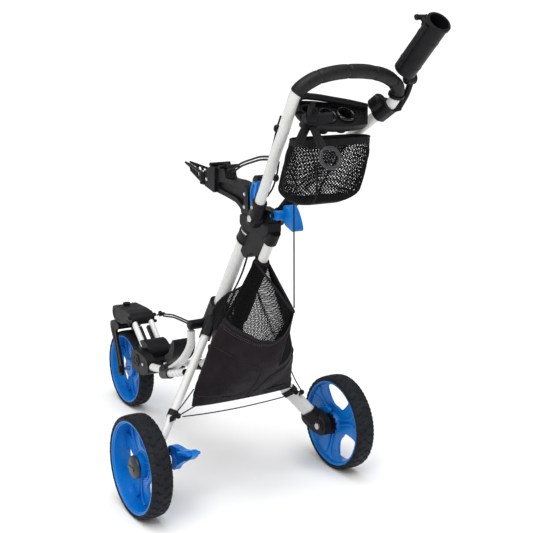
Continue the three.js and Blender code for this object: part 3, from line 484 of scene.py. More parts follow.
# Each plain look: its colour and roughness, other sockets, its shades (a noise and two colour stops), its
# shine (a noise and the roughness it runs between) and its bumps (a texture, strength and distance).
PLAIN_LOOKS = {
    "white_paint": (
        (0.70, 0.70, 0.68), 0.3, {"Coat_Weight": 0.25, "Coat_Roughness": 0.15},
        ((14, 5), (0.25, (0.635, 0.636, 0.62)), (0.75, (0.668, 0.668, 0.652))),
        ((60, 6), 0.2, 0.36), [("noise", (700, 2), 0.02, 0.0003)]),
    "black_plastic": (
        (0.008, 0.008, 0.009), 0.42, {"Specular_IOR_Level": 0.15},
        ((45, 6), (0.3, (0.004, 0.004, 0.0048)), (0.75, (0.009, 0.009, 0.0105))),
        ((35, 6, 0.7), 0.34, 0.52), [("noise", (1500, 2), 0.16, 0.0004)]),
    "gloss_plastic": (
        (0.006, 0.006, 0.007), 0.16, {"Specular_IOR_Level": 0.5}, None,
        ((30, 5), 0.10, 0.24), [("noise", (900, 2), 0.04, 0.0003)]),
    "blue_plastic": (
        (0.0, 0.16, 0.55), 0.3, {"Specular_IOR_Level": 0.3},
        ((22, 5), (0.3, (0.0, 0.125, 0.46)), (0.7, (0.0, 0.185, 0.60))),
        ((70, 6), 0.24, 0.38), [("noise", (900, 2), 0.06, 0.0004)]),
    "tyre_foam": (
        (0.009, 0.010, 0.013), 0.62, {"Specular_IOR_Level": 0.14},
        ((30, 6), (0.3, (0.006, 0.0068, 0.009)), (0.75, (0.015, 0.0165, 0.021))),
        ((80, 5), 0.5, 0.72), [("cells", (700,), 0.12, 0.0005), ("noise", (260, 5), 0.16, 0.0006)]),
    "hub_grey": (
        (0.022, 0.023, 0.026), 0.4, {},
        ((60, 5), (0.3, (0.016, 0.017, 0.019)), (0.7, (0.03, 0.031, 0.035))),
        ((50, 5), 0.32, 0.5), [("noise", (1300, 2), 0.12, 0.0004)]),
    "steel": (
        (0.56, 0.57, 0.58), 0.28, {"Metallic": 1.0},
        ((120, 5), (0.3, (0.45, 0.46, 0.47)), (0.7, (0.64, 0.65, 0.66))),
        ((300, 4), 0.2, 0.42), [("wave", (900, "X", 1.5), 0.06, 0.0003)]),
    "grip_foam": (
        (0.008, 0.008, 0.009), 0.5, {"Specular_IOR_Level": 0.22},
        ((90, 6), (0.3, (0.005, 0.005, 0.006)), (0.75, (0.013, 0.013, 0.014))),
        ((120, 4), 0.36, 0.56), [("cells", (1100,), 0.25, 0.0006), ("noise", (240, 4), 0.2, 0.0008)]),
    "bag_mesh": (
        (0.008, 0.008, 0.009), 0.6, {"Specular_IOR_Level": 0.1},
        ((120, 4), (0.3, (0.004, 0.004, 0.005)), (0.75, (0.010, 0.010, 0.011))),
        ((150, 4), 0.5, 0.75), [("wave", (700, "DIAGONAL"), 0.25, 0.0004)]),
    "thread": (
        (0.09, 0.085, 0.095), 0.7, {},
        ((300, 3), (0.3, (0.07, 0.066, 0.075)), (0.7, (0.12, 0.115, 0.125))),
        None, [("wave", (900, "DIAGONAL"), 0.4, 0.0003)]),
}


def plain_look(name):
    colour, roughness, sockets, shades, shine, bumps = PLAIN_LOOKS[name]
    look = Look(name, colour, roughness, **sockets)
    textures = {"noise": look.noise, "cells": look.cells, "wave": look.wave}
    if shades:
        look.colours(look.noise(*shades[0]), *shades[1:])
    if shine:
        look.shine(look.ranged(look.noise(*shine[0]), *shine[1:]))
    for kind, texture, strength, distance in bumps:
        look.bump(textures[kind](*texture), strength, distance)
    return look.material


def bag_fabric():
    look = Look("bag_fabric", (0.016, 0.012, 0.016), 0.8, Specular_IOR_Level=0.1, Sheen_Weight=0.06,
                Sheen_Roughness=0.4)
    warp, weft = look.wave(190, "DIAGONAL"), look.wave(190, "Z")
    weave = look.sum(warp, weft, "MULTIPLY")
    shade = look.sum(look.noise(16, 6), look.sum(weave, 0.16, "MULTIPLY"))
    look.colours(shade, (0.3, (0.0065, 0.0048, 0.0058)), (0.8, (0.018, 0.0135, 0.0162)))
    look.shine(look.ranged(look.noise(60, 5), 0.64, 0.86))
    look.bump(weave, 0.4, 0.0006)
    look.bump(look.noise(45, 5), 0.22, 0.003)
    return look.material


def webbing():
    look = Look("webbing", (0.008, 0.008, 0.009), 0.72, Specular_IOR_Level=0.12)
    ribs = look.sum(look.wave(260, "DIAGONAL"), look.wave(520, "Z"), "MULTIPLY")
    look.colours(look.sum(ribs, look.noise(40, 5)), (0.4, (0.006, 0.006, 0.007)), (1.0, (0.02, 0.02, 0.022)))
    look.shine(look.ranged(look.noise(90, 4), 0.6, 0.82))
    look.bump(ribs, 0.5, 0.0006)
    return look.material


def cord_black():
    look = Look("cord_black", (0.009, 0.009, 0.010), 0.65, Specular_IOR_Level=0.14)
    braid = look.sum(look.wave(420, "DIAGONAL"), look.wave(420, "Y", 1.0), "MULTIPLY")
    look.colours(look.sum(braid, look.noise(60, 3)), (0.4, (0.006, 0.006, 0.007)), (1.1, (0.03, 0.03, 0.033)))
    look.shine(look.ranged(look.noise(100, 4), 0.52, 0.75))
    look.bump(braid, 0.5, 0.0006)
    return look.material


WOVEN_LOOKS = {"bag_fabric": bag_fabric, "webbing": webbing, "cord_black": cord_black}


def material(name):
    if name not in LOOKS:
        LOOKS[name] = WOVEN_LOOKS[name]() if name in WOVEN_LOOKS else plain_look(name)
    return LOOKS[name]


# ---------------------------------------------------------------- cords
UPPER_BUNGEE = [(-16, 62, 842), (-22, 38, 849), (-32, -10, 868), (-46, -80, 888), (-64, -150, 905),
                (-79, -213, 915)]
LOWER_BUNGEE = [(34, 545, 331), (20, 490, 346), (-4, 405, 370), (-26, 322, 388), (-44, 250, 402),
                (-52, 214, 408)]
NET_CORD = [(0, -198, 800), (0, -202, 730), (0, -207, 640), (0, -212, 552)]
UPPER_BEND = ("frame", "handle", (0, 60, 842), (0, -170, 906))
LOWER_BEND = ("frame", "front_frame", (0, 240, 404), (0, 540, 333))
NET_BEND = ("frame", "handle", (0, -212, 560), (0, -200, 790))


def add_cord(name, route, radius, body, *nodes, count=40, lay="taut"):
    """A cord between two places on the trolley, swept along a smooth line through its route."""
    path = catmull(route, count)
    obj = piece(name, sweep(path, radius, 12), "cord_black", body, *nodes, angle=60)
    return obj


def strand(route, start, end):
    """A second strand beside a cord, set off from it by start at one end and by end at the other."""
    last = len(route) - 1
    return [V(*p) + Vector(start).lerp(Vector(end), k / last) for k, p in enumerate(route)]


def cord_clip(name, at, way, body):
    """The moulded clip that joins a cord's two strands, with an eye at its front."""
    way = Vector(way).normalized()
    at = Vector(at)
    block = beam(at - way * 9, at + way * 9, 15, 9, V(0, 0, 1), 3.4, 5)
    eye = turned(at + way * 15 - V(3, 0, 0), at + way * 15 + V(3, 0, 0),
                 [(0, 4.4), (0, 8.6), (6, 8.6), (6, 4.4)], 32, ring=True)
    piece(name, block, BLACK, body, joins=[eye], bevel=0.8)


add_cord("upper_bungee_cord", UPPER_BUNGEE, 2.5, UPPER_BEND, "upper_bungee")
add_cord("upper_bungee_strand", strand(UPPER_BUNGEE, (0, -3, -6), (2, 0, -7)), 2.5, UPPER_BEND)
cord_clip("upper_cord_clip", (-14, 70, 838), (0.35, 0.9, 0.1), "frame")
add_cord("upper_hook_cord", [(-12, 82, 839), (-10, 98, 850), (-9, 110, 849), (-9, 111, 839)], 2.5, "frame",
         count=10)
add_cord("lower_bungee_cord", LOWER_BUNGEE, 2.5, LOWER_BEND, "lower_bungee")
add_cord("lower_bungee_strand", strand(LOWER_BUNGEE, (0, -3, -6), (2, 0, -8)), 2.5, LOWER_BEND)
cord_clip("lower_cord_clip", (35, 553, 329), (0.12, 0.95, -0.25), "front_frame")
add_cord("lower_hook_cord", [(37, 566, 325), (41, 586, 318), (44, 602, 310)], 2.5, "front_frame", count=10)
add_cord("handle_hook_cord", [(-79, -213, 915), (-85, -237, 946), (-93, -262, 983), (-99, -286, 1014)], 2.2,
         "handle", count=20)
add_cord("handle_low_cord", [(-66, -232, 905), (-54, -206, 872), (-42, -172, 836), (-34, -136, 808)], 2.2,
         "handle", count=20)
HOOK_BALL = [(0, 0), (0.8, 3.6), (4, 6.4), (9, 7.6), (14, 6.4), (17.2, 3.6), (18, 0)]
for name, at in (("hook_ball_high", V(-93, -262, 984)), ("hook_ball_low", V(-50, -196, 862))):
    piece(name, turned(at - V(0, 0, 9), at + V(0, 0, 9), HOOK_BALL, 32), BLACK, "handle")
add_cord("net_cord_line", NET_CORD, 1.8, NET_BEND, "net_cord", count=24)
CORNER_BALL = [(0, 0), (0.6, 3.4), (3, 6.2), (7, 7.4), (11, 6.2), (13.4, 3.4), (14, 0)]
for side, word in BOTH:
    knob = on(side, V(196, 32, 224))
    ball = turned(knob - V(0, 0, 7), knob + V(0, 0, 7), CORNER_BALL, 32)
    piece(f"{word}_corner_ball", ball, BLACK, "frame",
          joins=[rod(knob, on(side, V(196, 56, 198)), 3.2, 0.3, 20)])
    add_cord(f"{word}_corner_cord", [on(side, (146, 12, 300)), on(side, (170, 22, 262)), knob + V(0, 0, 3)],
             1.6, "frame", count=12)
    add_cord(f"{word}_foot_cord", [on(side, (138, 8, 258)), on(side, (166, 20, 240)), knob - V(0, 0, 3)],
             1.6, "frame", count=12)
for k, x in enumerate((-14, -6)):
    strap = [(x, -18 + 8 * k, 640), (x - 1, 10 + 8 * k, 582), (x - 4, 44 + 8 * k, 532),
             (x - 9, 66 + 8 * k, 512)]
    add_cord(f"bag_strap_{k}", strap, 1.6, "frame", count=20)


# ---------------------------------------------------------------- main frame
def wideway(side):
    """The direction of a leg's wider side."""
    down = (on(side, LEG_END) - on(side, LEG_TOP)).normalized()
    return on(side, LEG_FACE).cross(down).normalized()


def leg_bar(side, start, thick, wide, corner):
    """A flat bar along a leg, from a distance past its top down to its end."""
    a, b = on(side, LEG_TOP), on(side, LEG_END)
    return beam(along(a, b, start), b, thick, wide, wideway(side), corner, 6, 6)


def leg_bore(side):
    return leg_bar(side, -0.4, LEG_THICK + 0.8, LEG_WIDE + 0.8, 9.4)


def main_bore(a, b, gap=0.5):
    return sweep(straight(a, b), MAIN_WIDE / 2 + gap, 40, (MAIN_DEEP + 2 * gap) / (MAIN_WIDE + 2 * gap),
                 V(0, 1, 0))


def oval_band(a, b, wide, deep, count=2):
    return sweep(straight(a, b, count), wide / 2, 40, deep / wide, V(0, 1, 0))


def joined(name, shape, look, body, *replaced, adds=(), **settings):
    """A piece with further closed shapes laid into it after its booleans."""
    obj = piece(name, shape, look, body, *replaced, **settings)
    if adds:
        more = new_object("more", mesh_of(merged(adds), "more"))
        more.data.materials.append(material(look))
        more.data.shade_smooth()
        more.data.set_sharp_from_angle(angle=radians(35))
        tool = bmesh.new()
        tool.from_mesh(obj.data)
        tool.from_mesh(more.data)
        tool.to_mesh(obj.data)
        tool.free()
        bpy.data.objects.remove(more)
    return obj


TOP_UP = V(0, 1, 0)
main_shape = oval_band(along(HUB, TOP, 3), along(TOP, HUB, 3), MAIN_WIDE, MAIN_DEEP, 12)
piece("main_oval_tube", main_shape, "white_paint", "frame", "main_tube", bevel=0.8)

for side, word in BOTH:
    piece(f"{word}_flat_leg", leg_bar(side, 0, LEG_THICK, LEG_WIDE, 9), "white_paint", "frame", f"{word}_leg",
          bevel=0.8)

link_path = straight(LINK_LOW, along(LINK_HIGH, LINK_LOW, 14), 8)
piece("rear_link_tube", sweep(link_path, 12.5, 32, up=TOP_UP), "white_paint", "frame", "rear_link", bevel=0.8)

SIDE_ROUTE = [V(56, 197, 388), V(52, 204, 352), V(50, 240, 304), V(50, 290, 262), V(50, 344, 230),
              V(50, 410, 214), V(50, 476, 203)]
STRUT_LOW, STRUT_HIGH = V(68, 319, 230), V(99, 146, 294.5)
for side, word in BOTH:
    route = catmull([on(side, p) for p in SIDE_ROUTE], 48)
    piece(f"{word}_curved_tube", sweep(route, 11, 28), "white_paint", "frame", f"{word}_side_tube", bevel=0.6)
    low, high = on(side, STRUT_LOW), on(side, STRUT_HIGH)
    piece(f"{word}_strut_tube", tube(straight(low, high, 6), 10.5, 1.6, 28), "white_paint", "frame",
          f"{word}_strut", bevel=0.4)
    plug = turned(along(high, low, 14), high, [(0, 8.6), (12.6, 8.6), (13, 8.0), (14.5, 8.0), (15, 7.2)], 28)
    piece(f"{word}_strut_plug", plug, BLACK, "frame")
    collar = rod(on(side, V(50, 324, 237)), on(side, V(50, 372, 222)), 15.5, 2, 36)
    clamp = rod(on(side, V(63, 346, 221)), on(side, V(75, 278, 245.4)), 14.5, 2, 36)
    cuts = [sweep(route, 11.4, 28), rod(along(low, high, -0.5), along(low, high, 90), 10.9)]
    web = beam(on(side, V(54, 352, 224)), on(side, V(64, 322, 238)), 16, 20, V(0, 0, 1), 3)
    piece(f"{word}_clamp_bracket", collar, BLACK, "frame", f"{word}_strut_bracket",
          joins=[clamp, web], cuts=cuts, bevel=0.8)
    head = on(side, V(57, 348, 248))
    piece(f"{word}_clamp_bolt", hex_nut(head, V(0, 0.3, 1).normalized(), 5.2, 5), "steel", "frame", bevel=0.4)
    at, beyond = route[43], route[44]
    way = (beyond - at).normalized()
    ring = turned(at - way * 4, at + way, [(0, 11.1), (0, 13), (8, 13), (8, 11.1)], 32, ring=True)
    piece(f"{word}_tube_collar", ring, BLACK, "frame", bevel=0.6)

# the hub: a shell round the main tube's foot, lugs for the legs and an arm back to the rear link
hub_shell = beam(along(HUB, TOP, -34), along(HUB, TOP, 42), 46, 54, TOP_UP, 17, 8)
hub_parts = [
    pin(-60, 60, 197, 405, 13, 2.5, 36),
    prism(softened([(150, 392), (200, 393), (206, 415), (170, 440)], 8), -20, 14),
    prism(softened([(150, 410), (150, 436), (74, 452), (40, 440), (40, 414), (70, 404)], 8), -12, 12),
    beam(along(LINK_LOW, LINK_HIGH, -20), along(LINK_LOW, LINK_HIGH, 34), 34, 34, TOP_UP, 15, 8),
]
for side in SIDES:
    low = on(side, V(44, 142, 384))
    hub_parts.append(beam(on(side, V(14, 160, 424)), low, LEG_THICK + 9, LEG_WIDE + 8, wideway(side), 9, 6))
hub_cuts = [
    main_bore(along(HUB, TOP, 2.5), along(HUB, TOP, 60)),
    rod(along(LINK_LOW, LINK_HIGH, -0.4), along(LINK_LOW, LINK_HIGH, 60), 12.9, 0.2, 36),
] + [leg_bore(side) for side in SIDES]
hub_band = oval_band(along(HUB, TOP, 30), along(HUB, TOP, 40), 49, 57)
piece("hub_body", hub_shell, BLACK, "frame", "hub_sleeve", joins=hub_parts + [hub_band],
      cuts=hub_cuts, bevel=1.2)
for side, word in BOTH:
    cap = turned(V(side * 59, 197, 405), V(side * 66, 197, 405),
                 [(0, 13), (1.5, 13), (4.5, 11), (5.5, 6), (5.5, 0)], 36)
    piece(f"{word}_shoulder_cap", cap, BLACK, "frame")
    piece(f"{word}_link_bolt", hex_nut(V(side * 12, 100, 426), V(side, 0, 0), 6.5, 4.5), "steel", "frame",
          bevel=0.4)
    boss = V(side * 17, 54, 437)
    piece(f"{word}_link_pin", turned(boss, boss + V(side, 0, 0), [(-1, 6), (1.6, 6), (2.4, 5), (2.4, 0)],
                                     28), "steel", "frame")

# the web between the main tube and the rear link, below the yoke
web = [(2, 702), (22, 668), (24, 644), (4, 626), (-14, 632), (-30, 652), (-48, 640), (-68, 636), (-84, 650),
       (-96, 684), (-104, 704)]
piece("yoke_web", prism(softened(web, 9), -11, 11), BLACK, "frame", bevel=2.2,
      cuts=[main_bore(HUB, along(TOP, HUB, -20), 0.3),
            rod(LINK_LOW, along(LINK_HIGH, LINK_LOW, -10), 12.8, 0.2, 36)])

# the collar near the main tube's top, with the lug its screw goes through
a, b = along(TOP, HUB, 52), along(TOP, HUB, 22)
piece("upper_collar", oval_band(a, b, 37, 48), BLACK, "frame", "top_sleeve",
      joins=[box(-8, 8, -10, 16, 640, 662), oval_band(a, along(a, TOP, 5), 39, 50)],
      cuts=[main_bore(along(a, HUB, 40), along(b, TOP, 30), 0.4)], bevel=1.2)

# ---------------------------------------------------------------- upper joint
AX = HANDLE_AXIS
YOKE_RIB = [(15, 712), (15, 738.4), (-22, 738.4), (-26, 756), (-60, 768), (-96, 764), (-116, 742),
            (-118, 712), (-98, 700), (-60, 706), (-20, 700)]
EAR = [(-96, 738), (-96, 762), (-108, 771), (-132, 771), (-142, 760), (-132, 749), (-112, 738)]
LOWER_PIVOT, UPPER_PIVOT = joint_point("lower_lever_turn"), joint_point("upper_lever_turn")
yoke_joins = [
    pin(-24, 24, AX.y, AX.z, 17, 1, 48),
    oval_band(along(TOP, HUB, 14), along(TOP, HUB, -18), 36, 46),
    beam(along(LINK_HIGH, LINK_LOW, 26), along(LINK_HIGH, LINK_LOW, -8), 33, 33, TOP_UP, 15, 8),
    prism(softened(EAR, 5), -22.4, -16),
    prism(softened(EAR, 5), 16, 22.4),
]
yoke_cuts = [
    main_bore(along(TOP, HUB, 30), along(TOP, HUB, 2), 0.4),
    rod(along(LINK_HIGH, LINK_LOW, 60), along(LINK_HIGH, LINK_LOW, 13), 12.9, 0.2, 36),
    pin(-60, 60, AX.y, AX.z, 6.4, 0.1, 32),
    box(-14, 14, -46, -10, 744, 790),
    box(-16, 16, -160, -112, 736, 780),
    box(-30, 30, -22, 30, 738.4, 780),
    pin(-30, 30, LOWER_PIVOT.y, LOWER_PIVOT.z, 4.4, 0.1, 24),
]
piece("yoke", prism(softened(YOKE_RIB, 8), -19, 19), BLACK, "frame", "joint_yoke", joins=yoke_joins,
      cuts=yoke_cuts, bevel=1.0)
cross_pin = pin(-50, 50, AX.y, AX.z, 6, 0.4, 32)
heads = [hex_nut(V(s * 50, AX.y, AX.z), V(s, 0, 0), 9.5, 5) for s in SIDES]
joined("cross_pin", cross_pin, "steel", "frame", "joint_pin", adds=heads)

UPPER_BLADE = [(-25, 762), (-22, 800), (-32, 826), (-44, 842), (-56, 838), (-52, 812), (-43, 786), (-43, 762)]
blade = prism(softened(UPPER_BLADE, 8, 6), -13, 13)
LEVER_DISH = [(-30, 776), (-27, 800), (-36, 822), (-44, 816), (-40, 790), (-38, 774)]
grip_cuts = [prism(softened(LEVER_DISH, 5), x, x + 12) for x in (-22, 10)]
piece("clamp_lever", blade, "blue_plastic", "upper_lever", "upper_lever",
      joins=[pin(-13, 13, UPPER_PIVOT.y, UPPER_PIVOT.z, 9, 1, 36)], cuts=grip_cuts, bevel=2.0, segments=4)
cap_shape = prism(softened([(-31, 828), (-43, 844), (-57, 840), (-54, 826)], 6, 5), -13.6, 13.6)
piece("clamp_lever_cap", cap_shape, BLACK, "upper_lever", bevel=1.6)

NECK = [(-120, 756), (-122, 768), (-132, 771), (-156, 772), (-156, 752), (-132, 750)]
PADDLE = [(-146, 774), (-152, 786), (-166, 778), (-188, 744), (-190, 730), (-174, 734), (-154, 742)]
piece("release_lever", prism(softened(NECK, 5), -15, 15), "blue_plastic", "lower_lever", "lower_lever",
      joins=[prism(rounded(PADDLE, 44), 4, 34), pin(-22, 22, LOWER_PIVOT.y, LOWER_PIVOT.z, 4, 0.4, 24)],
      cuts=[prism(rounded([(-160, 766), (-164, 770), (-184, 740), (-182, 738)], 20), 12, 26)], bevel=2.0,
      segments=4)

# the cradle's arm, its hinge block and hooks
ARM = [(-21, 738.8), (12, 738.8), (14, 750), (37, 762), (85, 768), (135, 772), (190, 784), (190, 816),
       (157, 834), (98, 838), (92, 814), (39, 816), (-8, 811), (-19, 796)]
arm_joins = [prism(softened([(135, 770), (193, 782), (193, 818), (157, 837), (135, 838)], 6), -24, 24)]
for y in (104, 150):
    arm_joins.append(pin(-30, 30, y, 842, 5, 1.2, 28))
    arm_joins.append(box(-5, 5, y - 4, y + 4, 822, 842))
arm_cuts = [rod(V(s * 22, 198, 740), V(s * 22, 198, 860), 9.5, 0.2, 36) for s in SIDES]
for x in (-24, 10):
    arm_cuts.append(prism(softened([(0, 756), (34, 774), (128, 784), (128, 800), (88, 804), (36, 804),
                                    (2, 798)], 10), x, x + 14))
piece("cradle_arm_body", prism(softened(ARM, 9), -17, 17), BLACK, "frame", "cradle_arm",
      joins=arm_joins, cuts=arm_cuts, bevel=1.2)
for side, word in BOTH:
    for y, z in ((-4, 790), (-4, 758), (176, 800)):
        x = side * (24 if y > 100 else 17)
        piece(f"{word}_arm_screw_{z}", turned(V(x, y, z), V(x + side, y, z),
                                              [(-1, 5), (1.4, 5), (2.4, 3.6), (1.2, 2.4), (1.2, 0)], 24),
              "steel", "frame")

for side, word in BOTH:
    low = (V(side * 23, 203, 789), V(side * 9, 290, 806))
    high = (V(side * 23, 203, 811), V(side * 9, 300, 820))
    hinge = rod(V(side * 22, 198, 784), V(side * 22, 198, 816), 9, 1.2, 36)
    rails = [beam(p, q, 7, 6, V(0, 0, 1), 2.4, 4) for p, q in (low, high)]
    ribs = [beam(low[0].lerp(low[1], t), high[0].lerp(high[1], t), 6, 8, V(0, 1, 0), 2.4, 4)
            for t in (0.15, 0.42, 0.69, 0.94)]
    prong = turned(V(side * 10, 286, 816), V(side * 7, 328, 822),
                   [(0, 5), (20, 4.4), (40, 2.9), (42.3, 1.6), (42.6, 0)], 24)
    piece(f"{word}_wing", hinge, BLACK, f"{word}_cradle_wing", f"{word}_cradle_wing",
          joins=rails + ribs + [prong], bevel=0.8)
    piece(f"{word}_wing_pin", rod(V(side * 22, 198, 781), V(side * 22, 198, 819), 3.4, 0.8, 24), "steel",
          "frame")

# ---------------------------------------------------------------- front housing, arms and caster head
CHEEK = [(446, 196), (456, 226), (500, 236), (548, 232), (560, 208), (548, 178), (512, 170), (462, 180)]
PAD = [(384, 238), (352, 262), (338, 300), (346, 316), (360, 300), (372, 272), (396, 254)]
FX = FOLD_AXIS
cheek = rounded(CHEEK, 48)
tube_cuts = [sweep(catmull([on(s, p) for p in SIDE_ROUTE], 48), 11.4, 28) for s in SIDES]
housing_joins = [
    prism(cheek, -64, -36),
    box(-40, 40, 450, 478, 184, 222),
    pin(-66, 66, FX.y, FX.z, 7, 0.8, 32),
    beam(V(0, 470, 200), V(0, 372, 252), 30, 14, V(0, 0, 1), 4, 5),
    prism(rounded(PAD, 44), -34, 34),
]
piece("fold_housing", prism(cheek, 36, 64), BLACK, "frame", "front_housing", joins=housing_joins,
      cuts=tube_cuts, bevel=1.6, segments=4)
for side, word in BOTH:
    face = side * 64
    disc = turned(V(face - side, FX.y, FX.z), V(face + side * 4, FX.y, FX.z),
                  [(0, 19), (2.4, 19), (3.4, 18), (3.4, 14), (2.2, 12.5), (2.2, 7.5), (4.4, 6.5), (4.8, 0)],
                  44)
    piece(f"{word}_fold_cap", disc, BLACK, "frame")
    piece(f"{word}_housing_screw", hex_nut(V(face, 478, 208), V(side, 0, 0), 5, 3), "steel", "frame",
          bevel=0.3)

ARM_LOW, ARM_HIGH = V(27, 548, 237), V(27, 630, 305)
KNUCKLE = [(500, 200), (494, 236), (512, 254), (548, 258), (566, 240), (552, 206), (534, 184), (512, 184)]
for side, word in BOTH:
    piece(f"{word}_arm_tube", sweep(straight(on(side, ARM_LOW), on(side, ARM_HIGH), 6), 8.5, 28),
          "white_paint", "front_frame", f"{word}_front_arm", bevel=0.5)
arm_bores = [rod(on(s, along(ARM_LOW, ARM_HIGH, -0.4)), on(s, ARM_HIGH), 8.9, 0.2, 28) for s in SIDES]
knuckle_joins = [beam(V(0, 540, 226), V(0, 604, 279), 36, 12, V(0, -0.6, 0.8), 3)]
knuckle_cuts = [beam(V(0, 572, 236), V(0, 598, 289), 18, 60, V(0, -0.6, 0.8), 4)] + arm_bores
knuckle_cuts.append(pin(-70, 70, FX.y, FX.z, 7.5, 0.1, 32))
for s in SIDES:
    knuckle_cuts.append(turned(V(s * 33, 532, 226), V(s * 36, 532, 226), [(0, 11), (3, 12)], 32))
piece("fold_knuckle", prism(rounded(KNUCKLE, 48), -35, 35), BLACK, "front_frame", "front_knuckle",
      joins=knuckle_joins, cuts=knuckle_cuts, bevel=1.4, segments=4)

HEAD = [(748, 316), (752, 290), (738, 272), (686, 270), (650, 284), (612, 282), (606, 304), (622, 318),
        (660, 320)]
head_arms = [rod(on(s, ARM_LOW), on(s, along(ARM_LOW, ARM_HIGH, 107.5)), 8.9, 0.2, 28) for s in SIDES]
head_joins = [pin(s * 36, s * 47, y, z, r, 2.2, 32) for s in SIDES
              for y, z, r in ((618, 308, 6), (612, 290, 5))]
head_cuts = head_arms + [
    box(-30, 30, 654, 690, 262, 309),
    rod(V(0, 727, 255), V(0, 727, 303.5), 9.5, 0.2, 36),
    box(-7.5, 7.5, 719, 735, 306, 330),
]
for s in SIDES:
    inset = softened([(740, 308), (744, 292), (734, 280), (690, 278), (654, 291), (622, 290), (616, 302),
                      (626, 311), (662, 312)], 8)
    head_cuts.append(prism(inset, s * 37, s * 40) if s > 0 else prism(inset, -40, -37))
piece("caster_body", prism(softened(HEAD, 10, 6), -38, 38), BLACK, "front_frame", "caster_head",
      joins=head_joins, cuts=head_cuts, bevel=1.6, segments=4)
for x in (-27, 27):
    for y in (668, 735):
        piece(f"head_screw_{x + 30}_{y}", turned(V(x, y, 317.2), V(x, y, 319),
                                                 [(0, 4.2), (1.6, 4.2), (2.2, 3.4), (1.2, 2.2), (1.2, 0)],
                                                 24), "steel", "front_frame")

knob = turned(V(0, 727, 307.6), V(0, 727, 330),
              [(0, 6.6), (8, 6.6), (9, 7), (11.5, 11.4), (12.5, 12), (14.6, 12), (16, 11.2), (16.4, 9),
               (15.4, 7.6), (15.4, 0)], 48)
piece("lock_knob", knob, BLACK, "swivel_lock", "swivel_lock")

# ---------------------------------------------------------------- fork
BLADE = [(714, 262), (744, 268), (768, 256), (766, 236), (742, 196), (720, 140), (712, 108), (700, 98),
         (686, 104), (684, 126), (700, 166), (722, 214), (728, 240), (712, 248)]
CROWN = [(706, 246), (706, 262), (722, 267), (752, 266), (766, 256), (760, 245)]
FC = FRONT_CENTRE
blade = rounded(BLADE, 72)
fork_joins = [
    prism(blade, -38, -30),
    prism(softened(CROWN, 5), -38, 38),
    rod(V(0, 727, 250), V(0, 727, 303), 9, 1, 36),
]
fork_cuts = [pin(-60, 60, FC.y, FC.z, 5.4, 0.1, 28)]
groove = softened([(744, 250), (752, 240), (728, 186), (708, 134), (700, 130), (712, 170), (738, 226)], 5)
fork_cuts += [prism(groove, 36.6, 40), prism(groove, -40, -36.6)]
piece("fork_body", prism(blade, 30, 38), BLACK, "fork", "fork", joins=fork_joins, cuts=fork_cuts,
      bevel=1.4, segments=4)
for side, word in BOTH:
    boss = turned(V(side * 37.2, FC.y, FC.z), V(side * 44, FC.y, FC.z),
                  [(0, 13.6), (1.8, 13.6), (2.6, 12.8), (2.6, 10.6), (6.3, 10.2), (6.9, 9), (6.9, 0)], 44)
    piece(f"{word}_fork_cap", boss, BLACK, "fork")
axle = pin(-38.5, 38.5, FC.y, FC.z, 5, 0.3, 28)
axle_ends = [hex_nut(V(s * 37.6, FC.y, FC.z), V(s, 0, 0), 8, 6.2) for s in SIDES]
joined("front_axle_bolt", axle, "steel", "fork", "front_axle", adds=axle_ends)


# ---------------------------------------------------------------- wheels
def smooth_step(a, b, x):
    t = min(max((x - a) / (b - a), 0), 1)
    return t * t * (3 - 2 * t)


def tyre(name, size, centre, body, node, lean=1):
    """A wide crowned tyre with a wavy diagonal tread and short grooves on the shoulders."""
    w, r, bed = size["width"] / 2, size["radius"], size["rim"] + 0.4
    outline = [(-w + 3, bed), (w - 3, bed), (w - 0.8, bed + 1.5), (w, bed + 4), (w, r - 8), (w - 0.8, r - 5),
               (w - 3, r - 2.2)]
    tread = [(x, r - 2.2 * abs(x / (w - 3)) ** 3.2)
             for x in [w - 3 - (2 * w - 6) * k / 38 for k in range(1, 38)]]
    outline += tread + [(-w + 3, r - 2.2), (-w + 0.8, r - 5), (-w, r - 8), (-w, bed + 4),
                        (-w + 0.8, bed + 1.5)]
    pitches = round(2 * pi * r / 24)
    steps = pitches * 12
    points = []
    for x, radius in outline:
        share = x / w
        for i in range(steps):
            turn = 2 * pi * i / steps
            depth = 0.0
            if radius > r - 6.5:
                wave = 0.62 * abs(share) + 0.10 * sin(4.2 * pi * abs(share))
                cell = (pitches * turn / (2 * pi) + lean * wave + (0.5 if share < 0 else 0)) % 1
                near = abs(cell - 0.5)
                depth = 2.6 * (1 - smooth_step(0.07, 0.13, near)) * smooth_step(0.03, 0.09, abs(share))
                side_cell = (2 * pitches * turn / (2 * pi) + 0.25) % 1
                edge = smooth_step(0.80, 0.88, abs(share))
                depth = max(depth, 1.8 * edge * (1 - smooth_step(0.10, 0.20, abs(side_cell - 0.5))))
            rr = radius - depth
            points.append(V(centre.x + x, centre.y + rr * cos(turn), centre.z + rr * sin(turn)))
    faces = ring_faces(len(outline), steps, False) + closing_faces(len(outline), steps)
    return piece(name, Shape(points, faces), "tyre_foam", body, node, angle=50)


def polar(radius, turn, x):
    return V(x, radius * cos(turn), radius * sin(turn))


